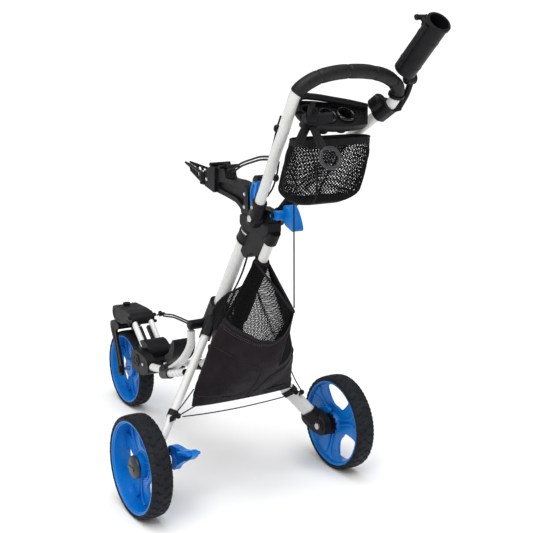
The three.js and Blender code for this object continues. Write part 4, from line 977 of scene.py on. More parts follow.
def rim(name, size, centre, face, body, node):
    """A deep dished rim on three wide spokes, each with a pair of raised ribs that part towards the rim."""
    w, r, hub = size["width"] / 2 - 2, size["rim"], size["hub"]

    def lathe(profile, sides=96, ring=False):
        return turned(V(0, 0, 0), V(face, 0, 0), profile, sides, ring=ring)

    barrel = [(w, r), (w, r - 1.2), (w - 0.6, r - 3.6), (w - 1.6, r - 4.4), (w - 3.4, r - 4.8),
              (w - 5, r - 6.8), (8, r - 8.6), (-8, r - 9.6), (-w + 7, r - 8.6), (-w + 3, r - 6.2),
              (-w + 1, r - 4.6), (-w, r - 3.4), (-w, r)]
    disc = [(-14, hub - 12), (-14, hub + 12), (-17.5, r - 26), (-18, r - 7), (-12, r - 7), (-11.4, r - 22),
            (-5, hub + 14), (-5, hub - 12)]
    bowl = [(-w, 7), (-w, hub - 7), (-w + 2, hub - 5), (-10, hub + 1), (2, hub + 2), (w - 15, hub),
            (w - 15, 7)]
    windows = []
    ribs = []
    for k in range(3):
        middle = radians(100 + 120 * k)
        shape = [(r - 14, -0.50), (r - 9.5, -0.30), (r - 9, 0), (r - 9.5, 0.30), (r - 14, 0.50),
                 (r - 34, 0.52), (hub + 22, 0.38), (hub + 17, 0.0), (hub + 22, -0.38), (r - 34, -0.52)]
        corners = [polar(radius, middle + turn, 0) for radius, turn in shape]
        windows.append(prism(rounded([(p.y, p.z) for p in corners], 64), -40, 40))
        spoke = middle + pi / 3
        for s in SIDES:
            for x_in, x_out, near in ((-4.6, -11.4, 1), (-14.4, -17.8, 0.9)):
                line = []
                for radius, gap in ((hub + 1, 7.5), (hub + 16, 6.5), (r - 48, 6.4), (r - 32, 8.5),
                                    (r - 20, 14), (r - 10.5, 23)):
                    t = (radius - hub) / (r - hub)
                    line.append(polar(radius, spoke + s * gap * near / radius,
                                      face * (x_in + (x_out - x_in) * t)))
                ribs.append(sweep(catmull(line, 26), 3.3, 14, 1.4, V(1, 0, 0)))
    ring = [(-5.6, hub + 5), (-3.2, hub + 5.6), (-2.6, hub + 7.5), (-3.2, hub + 9.4), (-5.6, hub + 10)]
    ribs.append(lathe(ring, 72, True))
    shift = Matrix.Translation(centre)
    joined(
        name, lathe(disc, 96, True).moved(shift), "blue_plastic", body, node,
        cuts=[win.moved(shift) for win in windows], bevel=1.2, angle=40,
        adds=[part.moved(shift) for part in [lathe(barrel, 120, True), lathe(bowl, 72, True)] + ribs])


wheels = [
    ("left", REAR, V(-REAR_CENTRE.x, REAR_CENTRE.y, REAR_CENTRE.z), -1, "left_wheel"),
    ("right", REAR, REAR_CENTRE, 1, "right_wheel"),
    ("front", FRONT, FRONT_CENTRE, -1, "front_wheel"),
]
for word, size, centre, face, body in wheels:
    tyre(f"{word}_foam_tyre", size, centre, body, f"{word}_tyre", 1 if word != "right" else -1)
    rim(f"{word}_dished_rim", size, centre, face, body, f"{word}_rim")

for side, word in BOTH:
    c = V(side * REAR_CENTRE.x, 0, REAR["radius"])
    cap = [(11.5, 0), (11.5, 27), (13, 29.2), (15.5, 29.8), (18, 29.2), (20.5, 27), (22.4, 23), (22.6, 20.6),
           (23.4, 19.6), (24.4, 18), (25.2, 13), (25.6, 7), (25.7, 0)]
    piece(f"{word}_wheel_cap", turned(c, c + V(side, 0, 0), cap, 64), "hub_grey", f"{word}_wheel",
          f"{word}_hub_cap")
    release = softened([(-16, -4.4), (16, -4.4), (16, 4.4), (-16, 4.4)], 4)
    bar = prism([(c.y + y, c.z + z) for y, z in release], side * (HALF_TRACK + 24.4),
                side * (HALF_TRACK + 27.2))
    piece(f"{word}_cap_button", bar, "hub_grey", f"{word}_wheel", bevel=0.9)
    # the toothed ring on the inner side
    ring = []
    for i in range(12):
        for t, radius in ((-0.36, 25), (-0.24, 29.2), (-0.18, 30), (0.18, 30), (0.24, 29.2), (0.36, 25)):
            turn = (i + 0.5 + t) * pi / 6
            ring.append((c.y + radius * cos(turn), c.z + radius * sin(turn)))
    face = side * (HALF_TRACK - 28 + 1.5)
    shape = prism(ring, face - side * 6, face) if side > 0 else prism(ring, face, face + 6)
    cuts = [pin(face - 20, face + 20, c.y, c.z, 8, 0.1, 36)]
    piece(f"{word}_tooth_ring", shape, BLACK, f"{word}_wheel", f"{word}_brake_ring", cuts=cuts,
          bevel=0.7)
    shank = pin(side * 230, side * 310, 0, AXLE_HIGH, 6, 0.4, 28)
    joined(f"{word}_axle_pin", shank, "steel", "frame", f"{word}_axle",
           adds=[hex_nut(V(side * 231, 0, AXLE_HIGH), V(-side, 0, 0), 10, 5)])

# ---------------------------------------------------------------- axle brackets and brake
BRACKET = [(-22, 112), (-26, 140), (-8, 158), (26, 164), (66, 158), (88, 140), (86, 118), (60, 108),
           (20, 102), (-6, 104)]
PEDAL_PIN, PAWL_PIN = joint_point("brake_pedal_press"), joint_point("brake_pawl_drop")
slab = rounded(BRACKET, 56)
recess = rounded([(6, 122), (4, 144), (28, 152), (60, 146), (74, 134), (70, 122), (44, 116)], 40)
for side, word in BOTH:
    end, top = on(side, LEG_END), on(side, LEG_TOP)
    near, far = sorted((side * 236, side * 258))
    joins = [
        pin(side * 234, side * 264, 0, AXLE_HIGH, 17, 1.2, 44),
        beam(along(end, top, 34), end, LEG_THICK + 8, LEG_WIDE + 8, wideway(side), 8, 6),
    ]
    joins += [pin(side * 230, side * 240, y, z, 8, 0.8, 28) for y, z in ((62, 138), (28, 148))]
    if side < 0:
        joins.append(pin(-240, -198, PEDAL_PIN.y, PEDAL_PIN.z, 5, 0.8, 28))
    else:
        joins.append(pin(250, 269, PAWL_PIN.y, PAWL_PIN.z, 3.5, 0.4, 28))
    cuts = [leg_bore(side), pin(side * 200, side * HALF_TRACK, 0, AXLE_HIGH, 6.4, 0.1, 28)]
    cuts.append(prism(recess, side * 255 if side > 0 else -259, 259 if side > 0 else side * 255))
    piece(f"{word}_bracket", prism(slab, near, far), BLACK, "frame", f"{word}_axle_bracket",
          joins=joins, cuts=cuts, bevel=1.2)
    for y, z in ((62, 138), (28, 148)):
        bolt = hex_nut(V(side * 230.6, y, z), V(-side, 0, 0), 5.6, 4)
        piece(f"{word}_bracket_bolt_{y}", bolt, "steel", "frame", bevel=0.4)
    clip_at, clip_to = along(end, top, 104), along(end, top, 120)
    middle = clip_at.lerp(clip_to, 0.5)
    nub = rod(middle, middle + V(0, -34, 8), 6, 1.5, 28)
    lip = rod(middle + V(0, -30, 7), middle + V(0, -34, 8), 7.4, 1, 28)
    piece(f"{word}_clip", beam(clip_at, clip_to, LEG_THICK + 4, LEG_WIDE + 4, wideway(side), 10, 6),
          BLACK, "frame", f"{word}_leg_clip", joins=[nub, lip], cuts=[leg_bore(side)], bevel=1.0)

PEDAL = [(4, 148), (8, 160), (-2, 169), (-30, 176), (-70, 180), (-112, 196), (-124, 192), (-108, 172),
         (-76, 154), (-40, 128), (-26, 112), (-16, 114), (-12, 140)]
tread = beam(V(-214, -62, 172), V(-214, -118, 190), 36, 8, V(0, 0.3, 0.95), 3, 5, 2)
hole = pin(-260, -180, PEDAL_PIN.y, PEDAL_PIN.z, 5.4, 0.1, 28)
scoop = rounded([(-22, 150), (-20, 162), (-50, 168), (-92, 178), (-84, 166), (-44, 142)], 36)
ridges = []
for k in range(7):
    at = V(-214, -66, 173).lerp(V(-214, -114, 188.6), k / 6) + V(0, 1.4, 4.2)
    ridges.append(rod(at - V(14, 0, 0), at + V(14, 0, 0), 1.1, 0.4, 12))
joined("foot_pedal", prism(rounded(PEDAL, 72), -221, -203), "blue_plastic", "brake_pedal", "brake_pedal",
       joins=[tread], cuts=[hole, prism(scoop, -222, -218), prism(scoop, -206, -202)], bevel=1.6, segments=4,
       adds=ridges)
screw = [(0, 7.5), (1.6, 7.5), (3, 6.2), (1.8, 3.6), (1.8, 0)]
piece("pedal_screw", turned(V(-203, PEDAL_PIN.y, PEDAL_PIN.z), V(-198, PEDAL_PIN.y, PEDAL_PIN.z), screw, 32),
      "steel", "frame")

PAWL = [(44, 150), (47, 162), (38, 168), (4, 178), (-8, 174), (-5, 166), (16, 164), (32, 150)]
piece("pawl", prism(softened(PAWL, 5), 261.5, 271), "blue_plastic", "brake_pawl", "brake_pawl",
      joins=[box(261.5, 271, -2, 2, 163, 170)], cuts=[pin(250, 280, PAWL_PIN.y, PAWL_PIN.z, 3.9, 0.1, 28)],
      bevel=1.2)
piece("pawl_screw", turned(V(268.6, PAWL_PIN.y, PAWL_PIN.z), V(272, PAWL_PIN.y, PAWL_PIN.z), screw[:2]
                           + [(2.4, 0)], 28), "steel", "frame")

cable_end = along(LEG_END, LEG_TOP, 112) + V(-12, -34, 4)
CABLE = [V(cable_end.x * t, cable_end.y, cable_end.z - 7 * (1 - t * t)) for t in (-1, -0.6, 0, 0.6, 1)]
add_cord("brake_cable_line", CABLE, 1.6, "frame", "brake_cable", lay="hanging")

# ---------------------------------------------------------------- handle
HANDLE_HALF = [(40, -100, 767), (64, -184, 860), (85, -250, 932), (109, -320, 995), (131, -372, 1040),
               (130, -394, 1076), (96, -402, 1101), (48, -404, 1113)]
HANDLE_ROUTE = [V(-x, y, z) for x, y, z in HANDLE_HALF] + [V(0, -405, 1116)]
HANDLE_ROUTE += [V(*p) for p in HANDLE_HALF[::-1]]
handle_line = catmull(HANDLE_ROUTE, 177)
handle_bore = sweep(handle_line, HANDLE_R + 0.4, 28)
piece("handle_loop", sweep(handle_line, HANDLE_R, 32), "white_paint", "handle", "handle_tube", bevel=0.5)

GRIP_FROM, GRIP_TO = 66, 112
grip_line = evenly(handle_line[GRIP_FROM:GRIP_TO + 1], 193)
GRIP_SEAMS = (0.20, 0.44, 0.66, 0.86)


def grip_radius(t):
    """The foam's radius along the grip: rounded ends, fuller between its seams."""
    r = GRIP_R - 2.4
    for seam in GRIP_SEAMS:
        r -= 1.5 * exp(-((t - seam) / 0.006) ** 2)
    bulge = min(abs(t - seam) for seam in (0, 1) + GRIP_SEAMS)
    r += 0.5 * smooth_step(0, 0.05, bulge)
    edge = min(t, 1 - t)
    return r - 2.0 * (1 - smooth_step(0, 0.008, edge))


foam = sweep(grip_line, grip_radius, 40)
obj = piece("grip_foam_sleeve", foam, "grip_foam", "handle", "grip", angle=60)
way = (grip_line[192] - grip_line[188]).normalized()
ring = [(0, 12.6), (0, 17.9), (1, 18.4), (6, 18.4), (7.4, 17), (7.4, 12.6)]
piece("right_grip_collar", turned(grip_line[192] - way * 4, grip_line[192], ring, 44, ring=True),
      BLACK, "handle")

for side, word in BOTH:
    x, y, z = HANDLE_HALF[0]
    low, high = V(side * 33, -77, 734), V(side * 47.5, -126, 796)
    body = turned(low, high, [(0, 17), (1.5, 18.5), (60, 17.6), ((high - low).length - 4, 17),
                              ((high - low).length, 15.5)], 48)
    boss = pin(side * 25, side * 48, AX.y, AX.z, 20, 1.2, 52)
    ring = turned(along(high, low, 9), high, [(0, 17.1), (0.8, 18.4), (4.2, 18.4), (5, 17.1)], 48)
    seat = rod(V(side * (x - 0.6), y + 1.6, z - 1.8), V(side * 65, -188, 864), HANDLE_R + 0.4, 0.1, 36)
    keep_x = (-90, 24.4) if side > 0 else (-24.4, 90)
    cuts = [seat, pin(-60, 60, AX.y, AX.z, 6.4, 0.1, 32),
            pin(side * 49.6, side * 70, AX.y, AX.z, 11, 0.1, 36), box(*keep_x, -300, 100, 600, 1000)]
    piece(f"{word}_socket", body, BLACK, "handle", f"{word}_tube_socket", joins=[boss, ring],
          cuts=cuts, bevel=1.0)
    screw_at = V(side * 45, -112, 780) + V(side * 16.2, 0, 0)
    piece(f"{word}_socket_screw", turned(screw_at - V(side * 2, 0, 0), screw_at,
                                         [(0, 4.6), (3, 4.6), (4, 3.4), (2.8, 2.2), (2.8, 0)], 24), "steel",
          "handle")

# ---------------------------------------------------------------- console
TILT = 0.62
CONSOLE_PLACE = Matrix.Translation(V(0, -338, 1004)) @ Matrix.Rotation(TILT, 4, "X")


def quad(p0, p1, p2):
    """Points on the curve from p0 to p2 that p1 pulls towards itself."""
    return [Vector(p0) * (1 - t) ** 2 + Vector(p1) * (2 * t * (1 - t)) + Vector(p2) * t * t
            for t in (k / 10 for k in range(11))]


def flat_slab(outline, z0, z1):
    n = len(outline)
    return Shape([V(x, y, z) for z in (z0, z1) for x, y in outline], ring_faces(2, n))


def console_outline(inset=0.0):
    edge = quad((-84 + inset, -34 + inset), (0, -52 + inset), (60 - inset * 0.6, -40 + inset))
    edge += quad((92 - inset, 14 - inset * 0.6), (40, 22 - inset), (0, 30 - inset))
    edge += quad((0, 30 - inset), (-50, 44 - inset), (-78 + inset * 0.4, 40 - inset))[1:]
    edge += quad((-78 + inset * 0.4, 40 - inset), (-98 + inset, 36 - inset), (-94 + inset, 10))[1:]
    return [(p.x, p.y) for p in edge]


def console_rod(x, y, z0, z1, radius, sides=44):
    return turned(V(x, y, z0), V(x, y, z1), [(0, radius), (z1 - z0, radius)], sides)


CUP_X, TEE_X, RING_X = (-26, 22), (52, 62, 72), -66
CUP_WALL = [(0, 15.5), (1.4, 17), (38, 19), (41, 19.4), (41.4, 18.8)]
CUP_HOLLOW = [(0, 11), (3, 15), (34, 16.3), (37, 17.4), (60, 17.4)]
cups = [turned(V(x, -4, -18), V(x, -4, 23.4), CUP_WALL, 56) for x in CUP_X]
hollows = [turned(V(x, -4, -13), V(x, -4, 46), CUP_HOLLOW, 56) for x in CUP_X]
tees = [console_rod(x, 2, -17, 43, 3, sides=24) for x in TEE_X]
ring_hole = console_rod(RING_X, 10, -27, 53, 15)
for p in ring_hole.points:
    p.x = RING_X + (p.x - RING_X) * 1.15
dish = flat_slab(softened(console_outline(7), 6), 20, 40)
CUP_FROM, CUP_TO = V(-88, -352, 1002), V(-97, -386, 1014)
console_cuts = [p.moved(CONSOLE_PLACE) for p in hollows + tees + [ring_hole]] + [handle_bore]
levels = [(24, -6), (13, -2), (5, 6), (1, 15), (0, 26)]
slab_points = [V(x, y, z) for inset, z in levels for x, y in console_outline(inset)]
slab_shape = Shape(slab_points, ring_faces(len(levels), len(console_outline())))
brow = [(-93, 6, 24), (-90, 28, 31), (-74, 42, 36), (-40, 40, 36), (0, 33, 33), (46, 25, 29), (88, 15, 25)]
console_joins = [p.moved(CONSOLE_PLACE) for p in cups + [sweep(catmull(brow, 48), 7.5, 24)]]
console_joins += [rod(CUP_FROM, CUP_TO, 7, 1, 28), rod(CUP_FROM, along(CUP_TO, CUP_FROM, -24), 4, 0.6, 24)]
piece("console", slab_shape.moved(CONSOLE_PLACE), BLACK, "handle", "console_tray",
      joins=console_joins, cuts=[dish.moved(CONSOLE_PLACE)] + console_cuts, bevel=1.4)
for k, x in enumerate(CUP_X):
    ring = [(0, 17.2), (0, 22), (2.4, 23.2), (5.4, 22.6), (8, 20.6), (8.8, 18.8), (7.6, 17.2)]
    p, q = V(x, -4, 18.6), V(x, -4, 24)
    piece(f"cup_rim_{k}", turned(p, q, ring, 64, ring=True).moved(CONSOLE_PLACE), "gloss_plastic", "handle",
          slot="black_plastic")
    bowl = [(0, 0), (0.4, 8), (3, 13), (9, 15.8), (20, 16.2), (34, 16.6), (34, 15.2), (20, 14.8),
            (9.6, 14.2), (4.4, 11.6), (2, 7.4), (1.6, 0)]
    piece(f"cup_bowl_{k}", turned(V(x, -4, -13), V(x, -4, 0), bowl, 56).moved(CONSOLE_PLACE),
          "gloss_plastic", "handle", slot="black_plastic")
for k, x in enumerate(TEE_X):
    ring = [(0, 3.2), (0, 5.0), (0.8, 5.4), (2.2, 5.4), (3, 4.6), (3, 3.2)]
    piece(f"tee_rim_{k}", turned(V(x, 2, 18.6), V(x, 2, 24), ring, 32, ring=True).moved(CONSOLE_PLACE),
          BLACK, "handle")
outer = [V(RING_X + 18.6 * cos(a), 10 + 16.4 * sin(a), 26)
         for a in (pi * k / 16 for k in range(32))]
outer.append(outer[0].copy())
piece("strap_ring", sweep(outer, 2.6, 14).moved(CONSOLE_PLACE), BLACK, "handle")

# ---------------------------------------------------------------- umbrella holder and its clamp
PIVOT = joint_point("umbrella_tilt")
block = beam(V(119, -342, 1014), V(131, -371, 1039), 36, 40, V(1, 0, 0), 14, 8)
base = beam(V(130, -358, 1028), V(158, -370, 1036), 20, 22, V(0, 0, 1), 6, 5)
lobe = turned(V(104, -338, 1030), V(114, -366, 1054),
              [(0, 7), (2, 13), (7, 17), (30, 17), (35, 13), (37, 7)], 44)
arm_line = catmull([V(158, -366, 1030), V(160, -388, 1062), V(160, -402, 1092)], 24)
piece("umbrella_bracket", block, BLACK, "handle", "umbrella_clamp",
      joins=[base, sweep(arm_line, 7, 28), pin(153, 166, PIVOT.y, PIVOT.z, 13, 1, 40), lobe],
      cuts=[handle_bore, pin(140, 170, PIVOT.y, PIVOT.z, 5.4, 0.1, 28)], bevel=1.0)
U_LOW, U_HIGH = V(123, -424, 1117), V(123, -526, 1222)
u_len = (U_HIGH - U_LOW).length
wall = [(0, 23), (1.4, 25), (u_len - 8, 25), (u_len - 7, 27.2), (u_len - 1.4, 27.5), (u_len, 26.4),
        (u_len, 22.6), (u_len, 0)]
knob_at = along(U_HIGH, U_LOW, 34)
knob_out = V(0, 0.72, 0.69).normalized()
rail = beam(along(U_LOW, U_HIGH, 12) - V(26, 0, 0), along(U_HIGH, U_LOW, 10) - V(26, 0, 0), 7, 10,
            V(0, 1, 1), 2.5, 4)
bridge = beam(V(144, PIVOT.y, PIVOT.z), along(U_LOW, U_HIGH, 24) + V(15, 0, 0), 20, 12, V(1, 0, 0), 4, 4)
ribs = [turned(along(U_LOW, U_HIGH, d), U_HIGH, [(0, 24.9), (0.5, 25.7), (2.6, 25.7), (3.1, 24.9)], 56)
        for d in (26, 100)]
seat = turned(knob_at + knob_out * 20, knob_at + knob_out * 33, [(0, 9.5), (8, 9.5), (10, 8.4)], 32)
keep_bore = rod(along(U_LOW, U_HIGH, 8), along(U_LOW, U_HIGH, 240), 21.5, 0.1, 56)
piece("umbrella_tube", turned(U_LOW, U_HIGH, wall, 64), BLACK, "umbrella_holder",
      "umbrella_holder", joins=[rail, pin(144, 152.4, PIVOT.y, PIVOT.z, 13, 1, 40), bridge, seat] + ribs
      + [pin(150, 168, PIVOT.y, PIVOT.z, 5, 0.5, 28)],
      cuts=[keep_bore, rod(knob_at, knob_at + knob_out * 36, 5.4, 0.1, 28)], bevel=0.8)
stem = rod(knob_at + knob_out * 18, knob_at + knob_out * 41, 5, 0.5, 24)
top = knob_at + knob_out * 45
wing = beam(top - V(16, 0, 0), top + V(16, 0, 0), 9, 12, knob_out, 4, 5)
tips = [turned(top - V(s * 1, 0, 0), top + V(s * 16, 0, 0),
               [(10, 4.8), (13, 6.6), (16, 6), (17, 3.5), (17, 0)], 28) for s in SIDES]
piece("umbrella_screw", stem, BLACK, "umbrella_knob", "umbrella_knob", joins=[wing] + tips,
      bevel=1.4)

# ---------------------------------------------------------------- cup holder
cup_axis = (CUP_TO - CUP_FROM).normalized()
face, back = CUP_TO + cup_axis * 0.4, CUP_TO + cup_axis * 28
cup_centre = face.lerp(back, 0.5)
FINGERS = [(-26, 2, -50), (20, -30, -66), (42, -22, 6), (-8, -18, 34)]
hub_joins = []
for x, y, z in FINGERS:
    a, b = cup_centre + V(x, y, z) * 0.2, cup_centre + V(x, y, z)
    hub_joins.append(beam(a, b, 19, 9, V(0.3, -0.9, 0.3), 3.2, 5))
    side_way = (b - a).cross(V(0.3, -0.9, 0.3)).normalized()
    for s in SIDES:
        hub_joins.append(sweep(straight(a + side_way * 8.2 * s, b + side_way * 7.6 * s, 4), 3.6, 14))
hub_cut = rod(CUP_FROM, along(back, CUP_FROM, -20), 4.5, 0.1, 24)
piece("cup_holder", beam(face, back, 26, 30, V(0, 0, 1), 8, 6), BLACK, "drink_holder",
      "drink_holder", joins=hub_joins, cuts=[hub_cut], bevel=0.9)
loop = [(14, -30, -60), (6, -37, -80), (20, -43, -95), (44, -44, -92), (52, -38, -74), (40, -31, -58)]
loop_line = catmull([cup_centre + V(*p) for p in loop], 60, True)
piece("cup_stirrup", sweep(loop_line + [loop_line[0].copy()], 4.2, 16), "hub_grey", "drink_holder")
piece("cup_hub_cap", turned(back - cup_axis, back + cup_axis * 3,
                            [(0, 10), (2.4, 10), (3.6, 8.6), (3, 5), (3.4, 0)], 40), BLACK,
      "drink_holder")

# ---------------------------------------------------------------- storage bag
BAG = {"left": 147.0, "low": 253.0, "low_y": 17.0, "front": V(0, 126, 437), "rear": V(0, -212, 541),
       "peak": V(0, -56, 634)}
# How far the rim stands off the straight line from its peak to its front end.
FRONT_RIM = [(0, 0), (0.2, -13), (0.33, -16), (0.45, -8), (0.58, 5.5), (0.72, 14), (0.82, 18), (0.95, 16),
             (1, 0)]


def smoothly(table, x):
    """A value read from a table of (x, value), eased between its rows."""
    for (a, low), (b, high) in zip(table, table[1:]):
        if x <= b:
            share = (x - a) / (b - a)
            return low + (high - low) * (0.5 * share + 0.5 * smooth_step(0, 1, share))
    return table[-1][1]


def bag_point(t, turn, out=0.0):
    """A point of the bag's cloth: t runs from the bottom hem to the rim, turn goes round it."""
    c, s = cos(turn), sin(turn)
    low = V(s * BAG["left"], BAG["low_y"] + c * 14, BAG["low"])
    end = BAG["front"] if c > 0 else BAG["rear"]
    share = abs(c) ** 1.4
    high = BAG["peak"].lerp(end, share)
    high.x = s * (17 - 11 * share)
    if c > 0:
        high += V(0, 0.735, 0.679) * smoothly(FRONT_RIM, share)
        high.x = copysign(max(abs(high.x), 27 * smooth_step(0.1, 0.5, share)), s)
    p = low.lerp(high, t)
    p.x *= 1 + 0.25 * sin(pi * t)
    p.y += (8 if c > 0 else -34) * abs(c) * sin(pi * t)
    return p + V(s, 0.6 * c, 0) * out


# How high the solid cloth reaches, by the angle from the bag's rear: it hangs in a low curve.
HEM = [(0, 0.95), (12, 0.75), (23, 0.68), (39, 0.635), (74, 0.61), (103, 0.62), (124, 0.65), (150, 0.68),
       (180, 0.70)]


def hem_height(turn):
    height = smoothly(HEM, abs(degrees(turn) % 360 - 180))
    return height - (height - 0.42) * smooth_step(0.02, 0.2, sin(turn))


def hub_room(p):
    """Whether a point of the bag is where the hub and its arm stand."""
    return abs(p.x) < 24 and 26 < p.y < 170 and p.z > 384


def creases(t, turn):
    """Soft folds that run from the rear corners over the side of the bag."""
    c, s = cos(turn), sin(turn)
    away = abs(degrees(turn) % 360 - 180) / 180
    fan = sin(26 * away - 9 * t) * exp(-((t - 0.30) / 0.22) ** 2) * 2.6
    low = sin(19 * away + 16 * t + (2 if s < 0 else 0)) * exp(-(t / 0.25) ** 2) * 2.2
    rough = noise.fractal(V(c * 2.2, s * 2.2, t * 5), 0.9, 2.1, 4) * 5.0
    calm = smooth_step(0, 0.05, t) * smooth_step(0, 0.05, hem_height(turn) - t)
    return (fan + low + rough) * calm


def thin_piece(name, shape, look, body, slot, modifier, loose=False, **settings):
    """An open surface given its thickness, or turned into threads, by a modifier."""
    obj = new_object(name, mesh_of(shape, name))
    if loose:
        remove_loose(obj)
    step = obj.modifiers.new("thin", modifier)
    for key, value in settings.items():
        setattr(step, key, value)
    finish_piece(obj, look, 60)
    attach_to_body(obj, body)
    return obj


def remove_loose(obj):
    """Removes the points that no face uses."""
    tool = bmesh.new()
    tool.from_mesh(obj.data)
    bmesh.ops.delete(tool, geom=[v for v in tool.verts if not v.link_faces], context="VERTS")
    bmesh.ops.recalc_face_normals(tool, faces=tool.faces)
    tool.to_mesh(obj.data)
    tool.free()


def middle_of(points):
    return sum(points, V(0, 0, 0)) / len(points)


def bag_grid(name, rows, columns, look, low, high, displace, thick, keep=lambda p: True):
    """Cloth round the bag between two heights, each a function of the angle."""
    points, faces = [], []
    for k in range(rows + 1):
        for i in range(columns):
            turn = 2 * pi * i / columns
            a, b = low(turn), high(turn)
            t = a + (b - a) * k / rows
            points.append(bag_point(t, turn, displace(t, turn)))
    for face in ring_faces(rows + 1, columns, False):
        if keep(middle_of([points[q] for q in face])):
            faces.append(face)
    return thin_piece(name, Shape(points, faces), look, "frame", "bag_fabric", "SOLIDIFY", loose=True,
                      thickness=thick / 1000, offset=0)


def diamonds(name, surface, columns, rows, thread_mm, body, keep=lambda p: True):
    """A knotted net of diamonds over a surface given by surface(share round, share up)."""
    points, index, faces = [], {}, []

    def at(i, j):
        key = (i % columns, j)
        if key not in index:
            index[key] = len(points)
            points.append(surface((key[0] + 0.5 * (j % 2)) / columns, j / rows))
        return index[key]

    for j in range(rows - 1):
        for i in range(columns):
            shift = j % 2
            face = [at(i, j), at(i + shift, j + 1), at(i, j + 2), at(i + shift - 1, j + 1)]
            if keep(middle_of([points[q] for q in face])):
                faces.append(face)
    return thin_piece(name, Shape(points, faces), "bag_mesh", body, "bag_mesh", "WIREFRAME", loose=True,
                      thickness=thread_mm / 1000, use_even_offset=False, use_boundary=True)


def clear_of_hub(p):
    return not hub_room(p)


bag_cloth = bag_grid("bag_panels", 64, 240, "bag_fabric", lambda turn: 0.0, hem_height, creases, 1.2,
                     clear_of_hub)
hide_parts("storage_bag")
floor_cloth = bag_grid("bag_hem_band", 3, 160, "webbing", lambda turn: 0.0, lambda turn: 0.075,
                       lambda t, turn: 1.2, 1.4)
binding = bag_grid("bag_hem_binding", 2, 200, "webbing", lambda turn: hem_height(turn) - 0.012,
                   lambda turn: hem_height(turn) + 0.008, lambda t, turn: 0.6, 1.8, clear_of_hub)


def bag_surface(u, v):
    turn = 2 * pi * u
    low = hem_height(turn)
    return bag_point(low + (1 - low) * v, turn)


bag_net = diamonds("bag_net", bag_surface, 136, 58, 2.0, "frame", clear_of_hub)
rim_line = [bag_point(1, 2 * pi * k / 120) for k in range(121)]


def runs_clear(line):
    """The stretches of a line that are clear of the hub."""
    runs, run = [], []
    for p in line:
        if hub_room(p):
            if len(run) > 3:
                runs.append(run)
            run = []
        else:
            run.append(p)
    if len(run) > 3:
        runs.append(run)
    return runs


rim_pipes = [sweep(evenly(run, 3 * len(run)), 3.0, 14) for run in runs_clear(rim_line[60:] + rim_line[1:61])]
rim_piping = piece("bag_rim_piping", merged(rim_pipes), "webbing", "frame", angle=60, slot="bag_fabric")

# the pocket's seam and the stitched lines beside the hems
seam_routes = []
for s in SIDES:
    route = [(0.49, 130), (0.455, 100), (0.445, 70), (0.45, 47), (0.44, 28), (0.42, 18), (0.38, 11),
             (0.28, 6), (0.14, 3), (0.02, 2)]
    line = []
    for t, away in route:
        turn = pi + s * radians(away)
        t *= 1 if s > 0 else 0.8
        line.append(bag_point(t, turn, creases(t, turn) + 0.9))
    seam_routes.append(sweep(catmull(line, 90), 2.1, 10))
pocket_seam = piece("bag_pocket_seam", merged(seam_routes), "webbing", "frame", angle=60, slot="bag_fabric")


def stitches(name, line):
    """A row of stitches 3.2 mm long along a line, 2 mm apart."""
    length = sum((b - a).length for a, b in zip(line, line[1:]))
    dots = evenly(line, 2 * max(int(length / (3.2 + 2.0)), 2))
    made = [sweep([a, a.lerp(b, 0.5), b], 0.35, 6) for a, b in zip(dots[::2], dots[1::2])]
    piece(name, merged(made), "thread", "frame", angle=60, slot="bag_fabric")


hem_turns = [2 * pi * k / 240 for k in range(241)]
for k, below in enumerate((0.030, 0.042)):
    line = [bag_point(hem_height(a) - below, a, creases(hem_height(a) - below, a) + 1.3) for a in hem_turns]
    for n, run in enumerate(runs_clear(line[120:] + line[1:121])):
        stitches(f"hem_stitches_{k}_{n}", run)
stitches("bottom_stitches", [bag_point(0.086, a, creases(0.086, a) + 1.2) for a in hem_turns])

sleeve_low, sleeve_high = along(LINK_LOW, LINK_HIGH, 36), LINK_LOW.lerp(LINK_HIGH, 0.735)


def sleeve_size(t):
    return 15.6 + 0.9 * sin(9 * t) + 2.0 * (1 - t)


sleeve = sweep(straight(sleeve_low, sleeve_high, 60), sleeve_size, 40, 1.4, TOP_UP)
piece("bag_sleeve", sleeve, "bag_fabric", "frame", angle=60)

# ---------------------------------------------------------------- net basket


def basket_ring(t, count, inset=0.0):
    inset += 24 * max(1 - t / 0.24, 0) ** 2.2
    half = 80 + 20 * t - inset
    back = 26 * (1 - t)
    front = -204 - 106 * t - back - inset
    rear = -312 - 16 * sin(pi * t) - 46 * t - back + inset
    level = 826 + 142 * t
    wide, deep = 36 - 8 * (1 - t) ** 4, 21.6 - 5 * (1 - t) ** 4
    ring = []
    for k, (x, y) in enumerate([(half, front), (-half, front), (-half, rear), (half, rear)]):
        cx = x - copysign(wide, x)
        cy = y + (-deep if k < 2 else deep)
        for i in range(9):
            turn = pi / 2 * (k + i / 8)
            ring.append(V(cx + wide * cos(turn), cy + deep * sin(turn),
                          level - 6 * (1 - t) * (y / -300)))
    ring.append(ring[0].copy())
    return evenly(ring, count, True)


def basket_surface(u, v, low=0.0, high=1.0, out=0.0):
    t = low + (high - low) * v
    ring = basket_ring(t, 96, -out)
    place = (u % 1) * 96
    i = int(place) % 96
    p = ring[i].lerp(ring[(i + 1) % 96], place - int(place))
    sag = 4.0 * sin(pi * t) * sin(2 * pi * u * 3 + 1)
    middle = V(0, (ring[0].y + ring[48].y) / 2, p.z)
    way = (p - middle).normalized()
    return p + way * sag * 0.5


def basket_band(name, low, high, thick):
    rows, columns = 6, 192
    points = [basket_surface(i / columns, k / rows, low, high, 0.5) for k in range(rows + 1)
              for i in range(columns)]
    shape = Shape(points, ring_faces(rows + 1, columns, False))
    return thin_piece(name, shape, "webbing", "handle", "bag_mesh", "SOLIDIFY", thickness=thick / 1000,
                      offset=0)


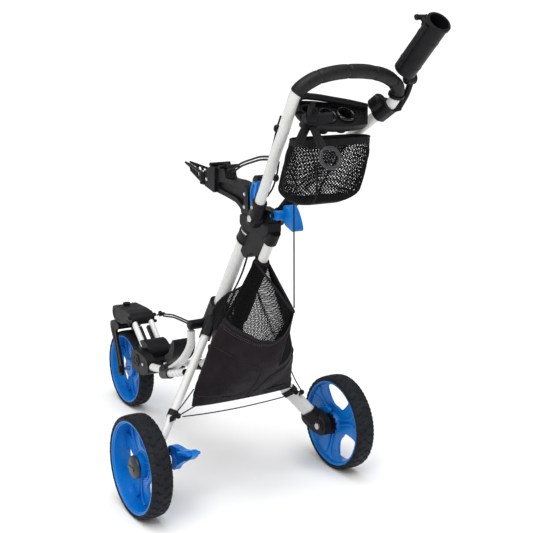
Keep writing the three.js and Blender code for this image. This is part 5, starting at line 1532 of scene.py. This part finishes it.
net = diamonds("basket_net", lambda u, v: basket_surface(u, v, 0.04, 0.95), 64, 34, 3.1, "handle")
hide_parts("mesh_basket")
bands = [basket_band("basket_rim_band", 0.91, 1.0, 2.0), basket_band("basket_foot_band", 0.0, 0.04, 1.8)]
rim_ring = [basket_surface(k / 160, 1.0) for k in range(161)]
bands.append(piece("basket_rim_piping", sweep(rim_ring, 2.6, 14), "webbing", "handle", angle=60,
                   slot="bag_mesh"))
floor_ring = basket_ring(0.0, 96)
centre = sum(floor_ring, V(0, 0, 0)) / 96
floor_points = [centre.lerp(p, k / 6) - V(0, 0, 3 * (1 - (k / 6) ** 2)) for k in range(7) for p in floor_ring]
thin_piece("basket_floor", Shape(floor_points, ring_faces(7, 96, False)), "webbing", "handle", "bag_mesh",
           "SOLIDIFY", thickness=0.0012)
for n, u in enumerate((0.10, 0.40, 0.60, 0.90)):
    line = [basket_surface(u + (0.02 if n % 2 else -0.02) * v, v, 0.03, 0.97, 0.6)
            for v in (k / 30 for k in range(31))]
    piece(f"basket_seam_{n}", sweep(line, 2.0, 12), "webbing", "handle", angle=60, slot="bag_mesh")


# ---------------------------------------------------------------- floor and light
def add_stage():
    mesh = bpy.data.meshes.new("floor")
    far = 900
    mesh.from_pydata([(-far, -far, 0), (far, -far, 0), (far, far, 0), (-far, far, 0)], [], [(0, 1, 2, 3)])
    floor = new_object("floor", mesh)
    look = Look("pale_floor", (0.93, 0.93, 0.93), 0.9, Specular_IOR_Level=0.1)
    look.colours(look.noise(1.5, 3), (0.3, (0.92, 0.92, 0.92)), (0.7, (0.94, 0.94, 0.94)))
    mesh.materials.append(look.material)


def add_light(name, place, target, power, size):
    data = bpy.data.lights.new(name, "AREA")
    data.energy = power
    data.shape = "DISK"
    data.size = size
    light = new_object(name, data)
    light.location = place
    light.rotation_euler = (Vector(target) - Vector(place)).to_track_quat("-Z", "Y").to_euler()


add_stage()
world = bpy.data.worlds.new("studio")
world.use_nodes = True
world.node_tree.nodes["Background"].inputs["Color"].default_value = (1.0, 1.0, 1.0, 1)
world.node_tree.nodes["Background"].inputs["Strength"].default_value = 0.38
bpy.context.scene.world = world
bpy.context.scene.view_settings.view_transform = "Standard"
add_light("key", (-2.6, -2.2, 2.6), (0, 0, 0.5), 34, 1.8)
add_light("fill", (2.6, -1.8, 2.0), (0, 0, 0.5), 10, 2.0)
sun = bpy.data.lights.new("sun", "SUN")
sun.energy = 2.7
sun.angle = radians(60)
new_object("sun", sun).rotation_euler = (radians(14), radians(-12), 0)
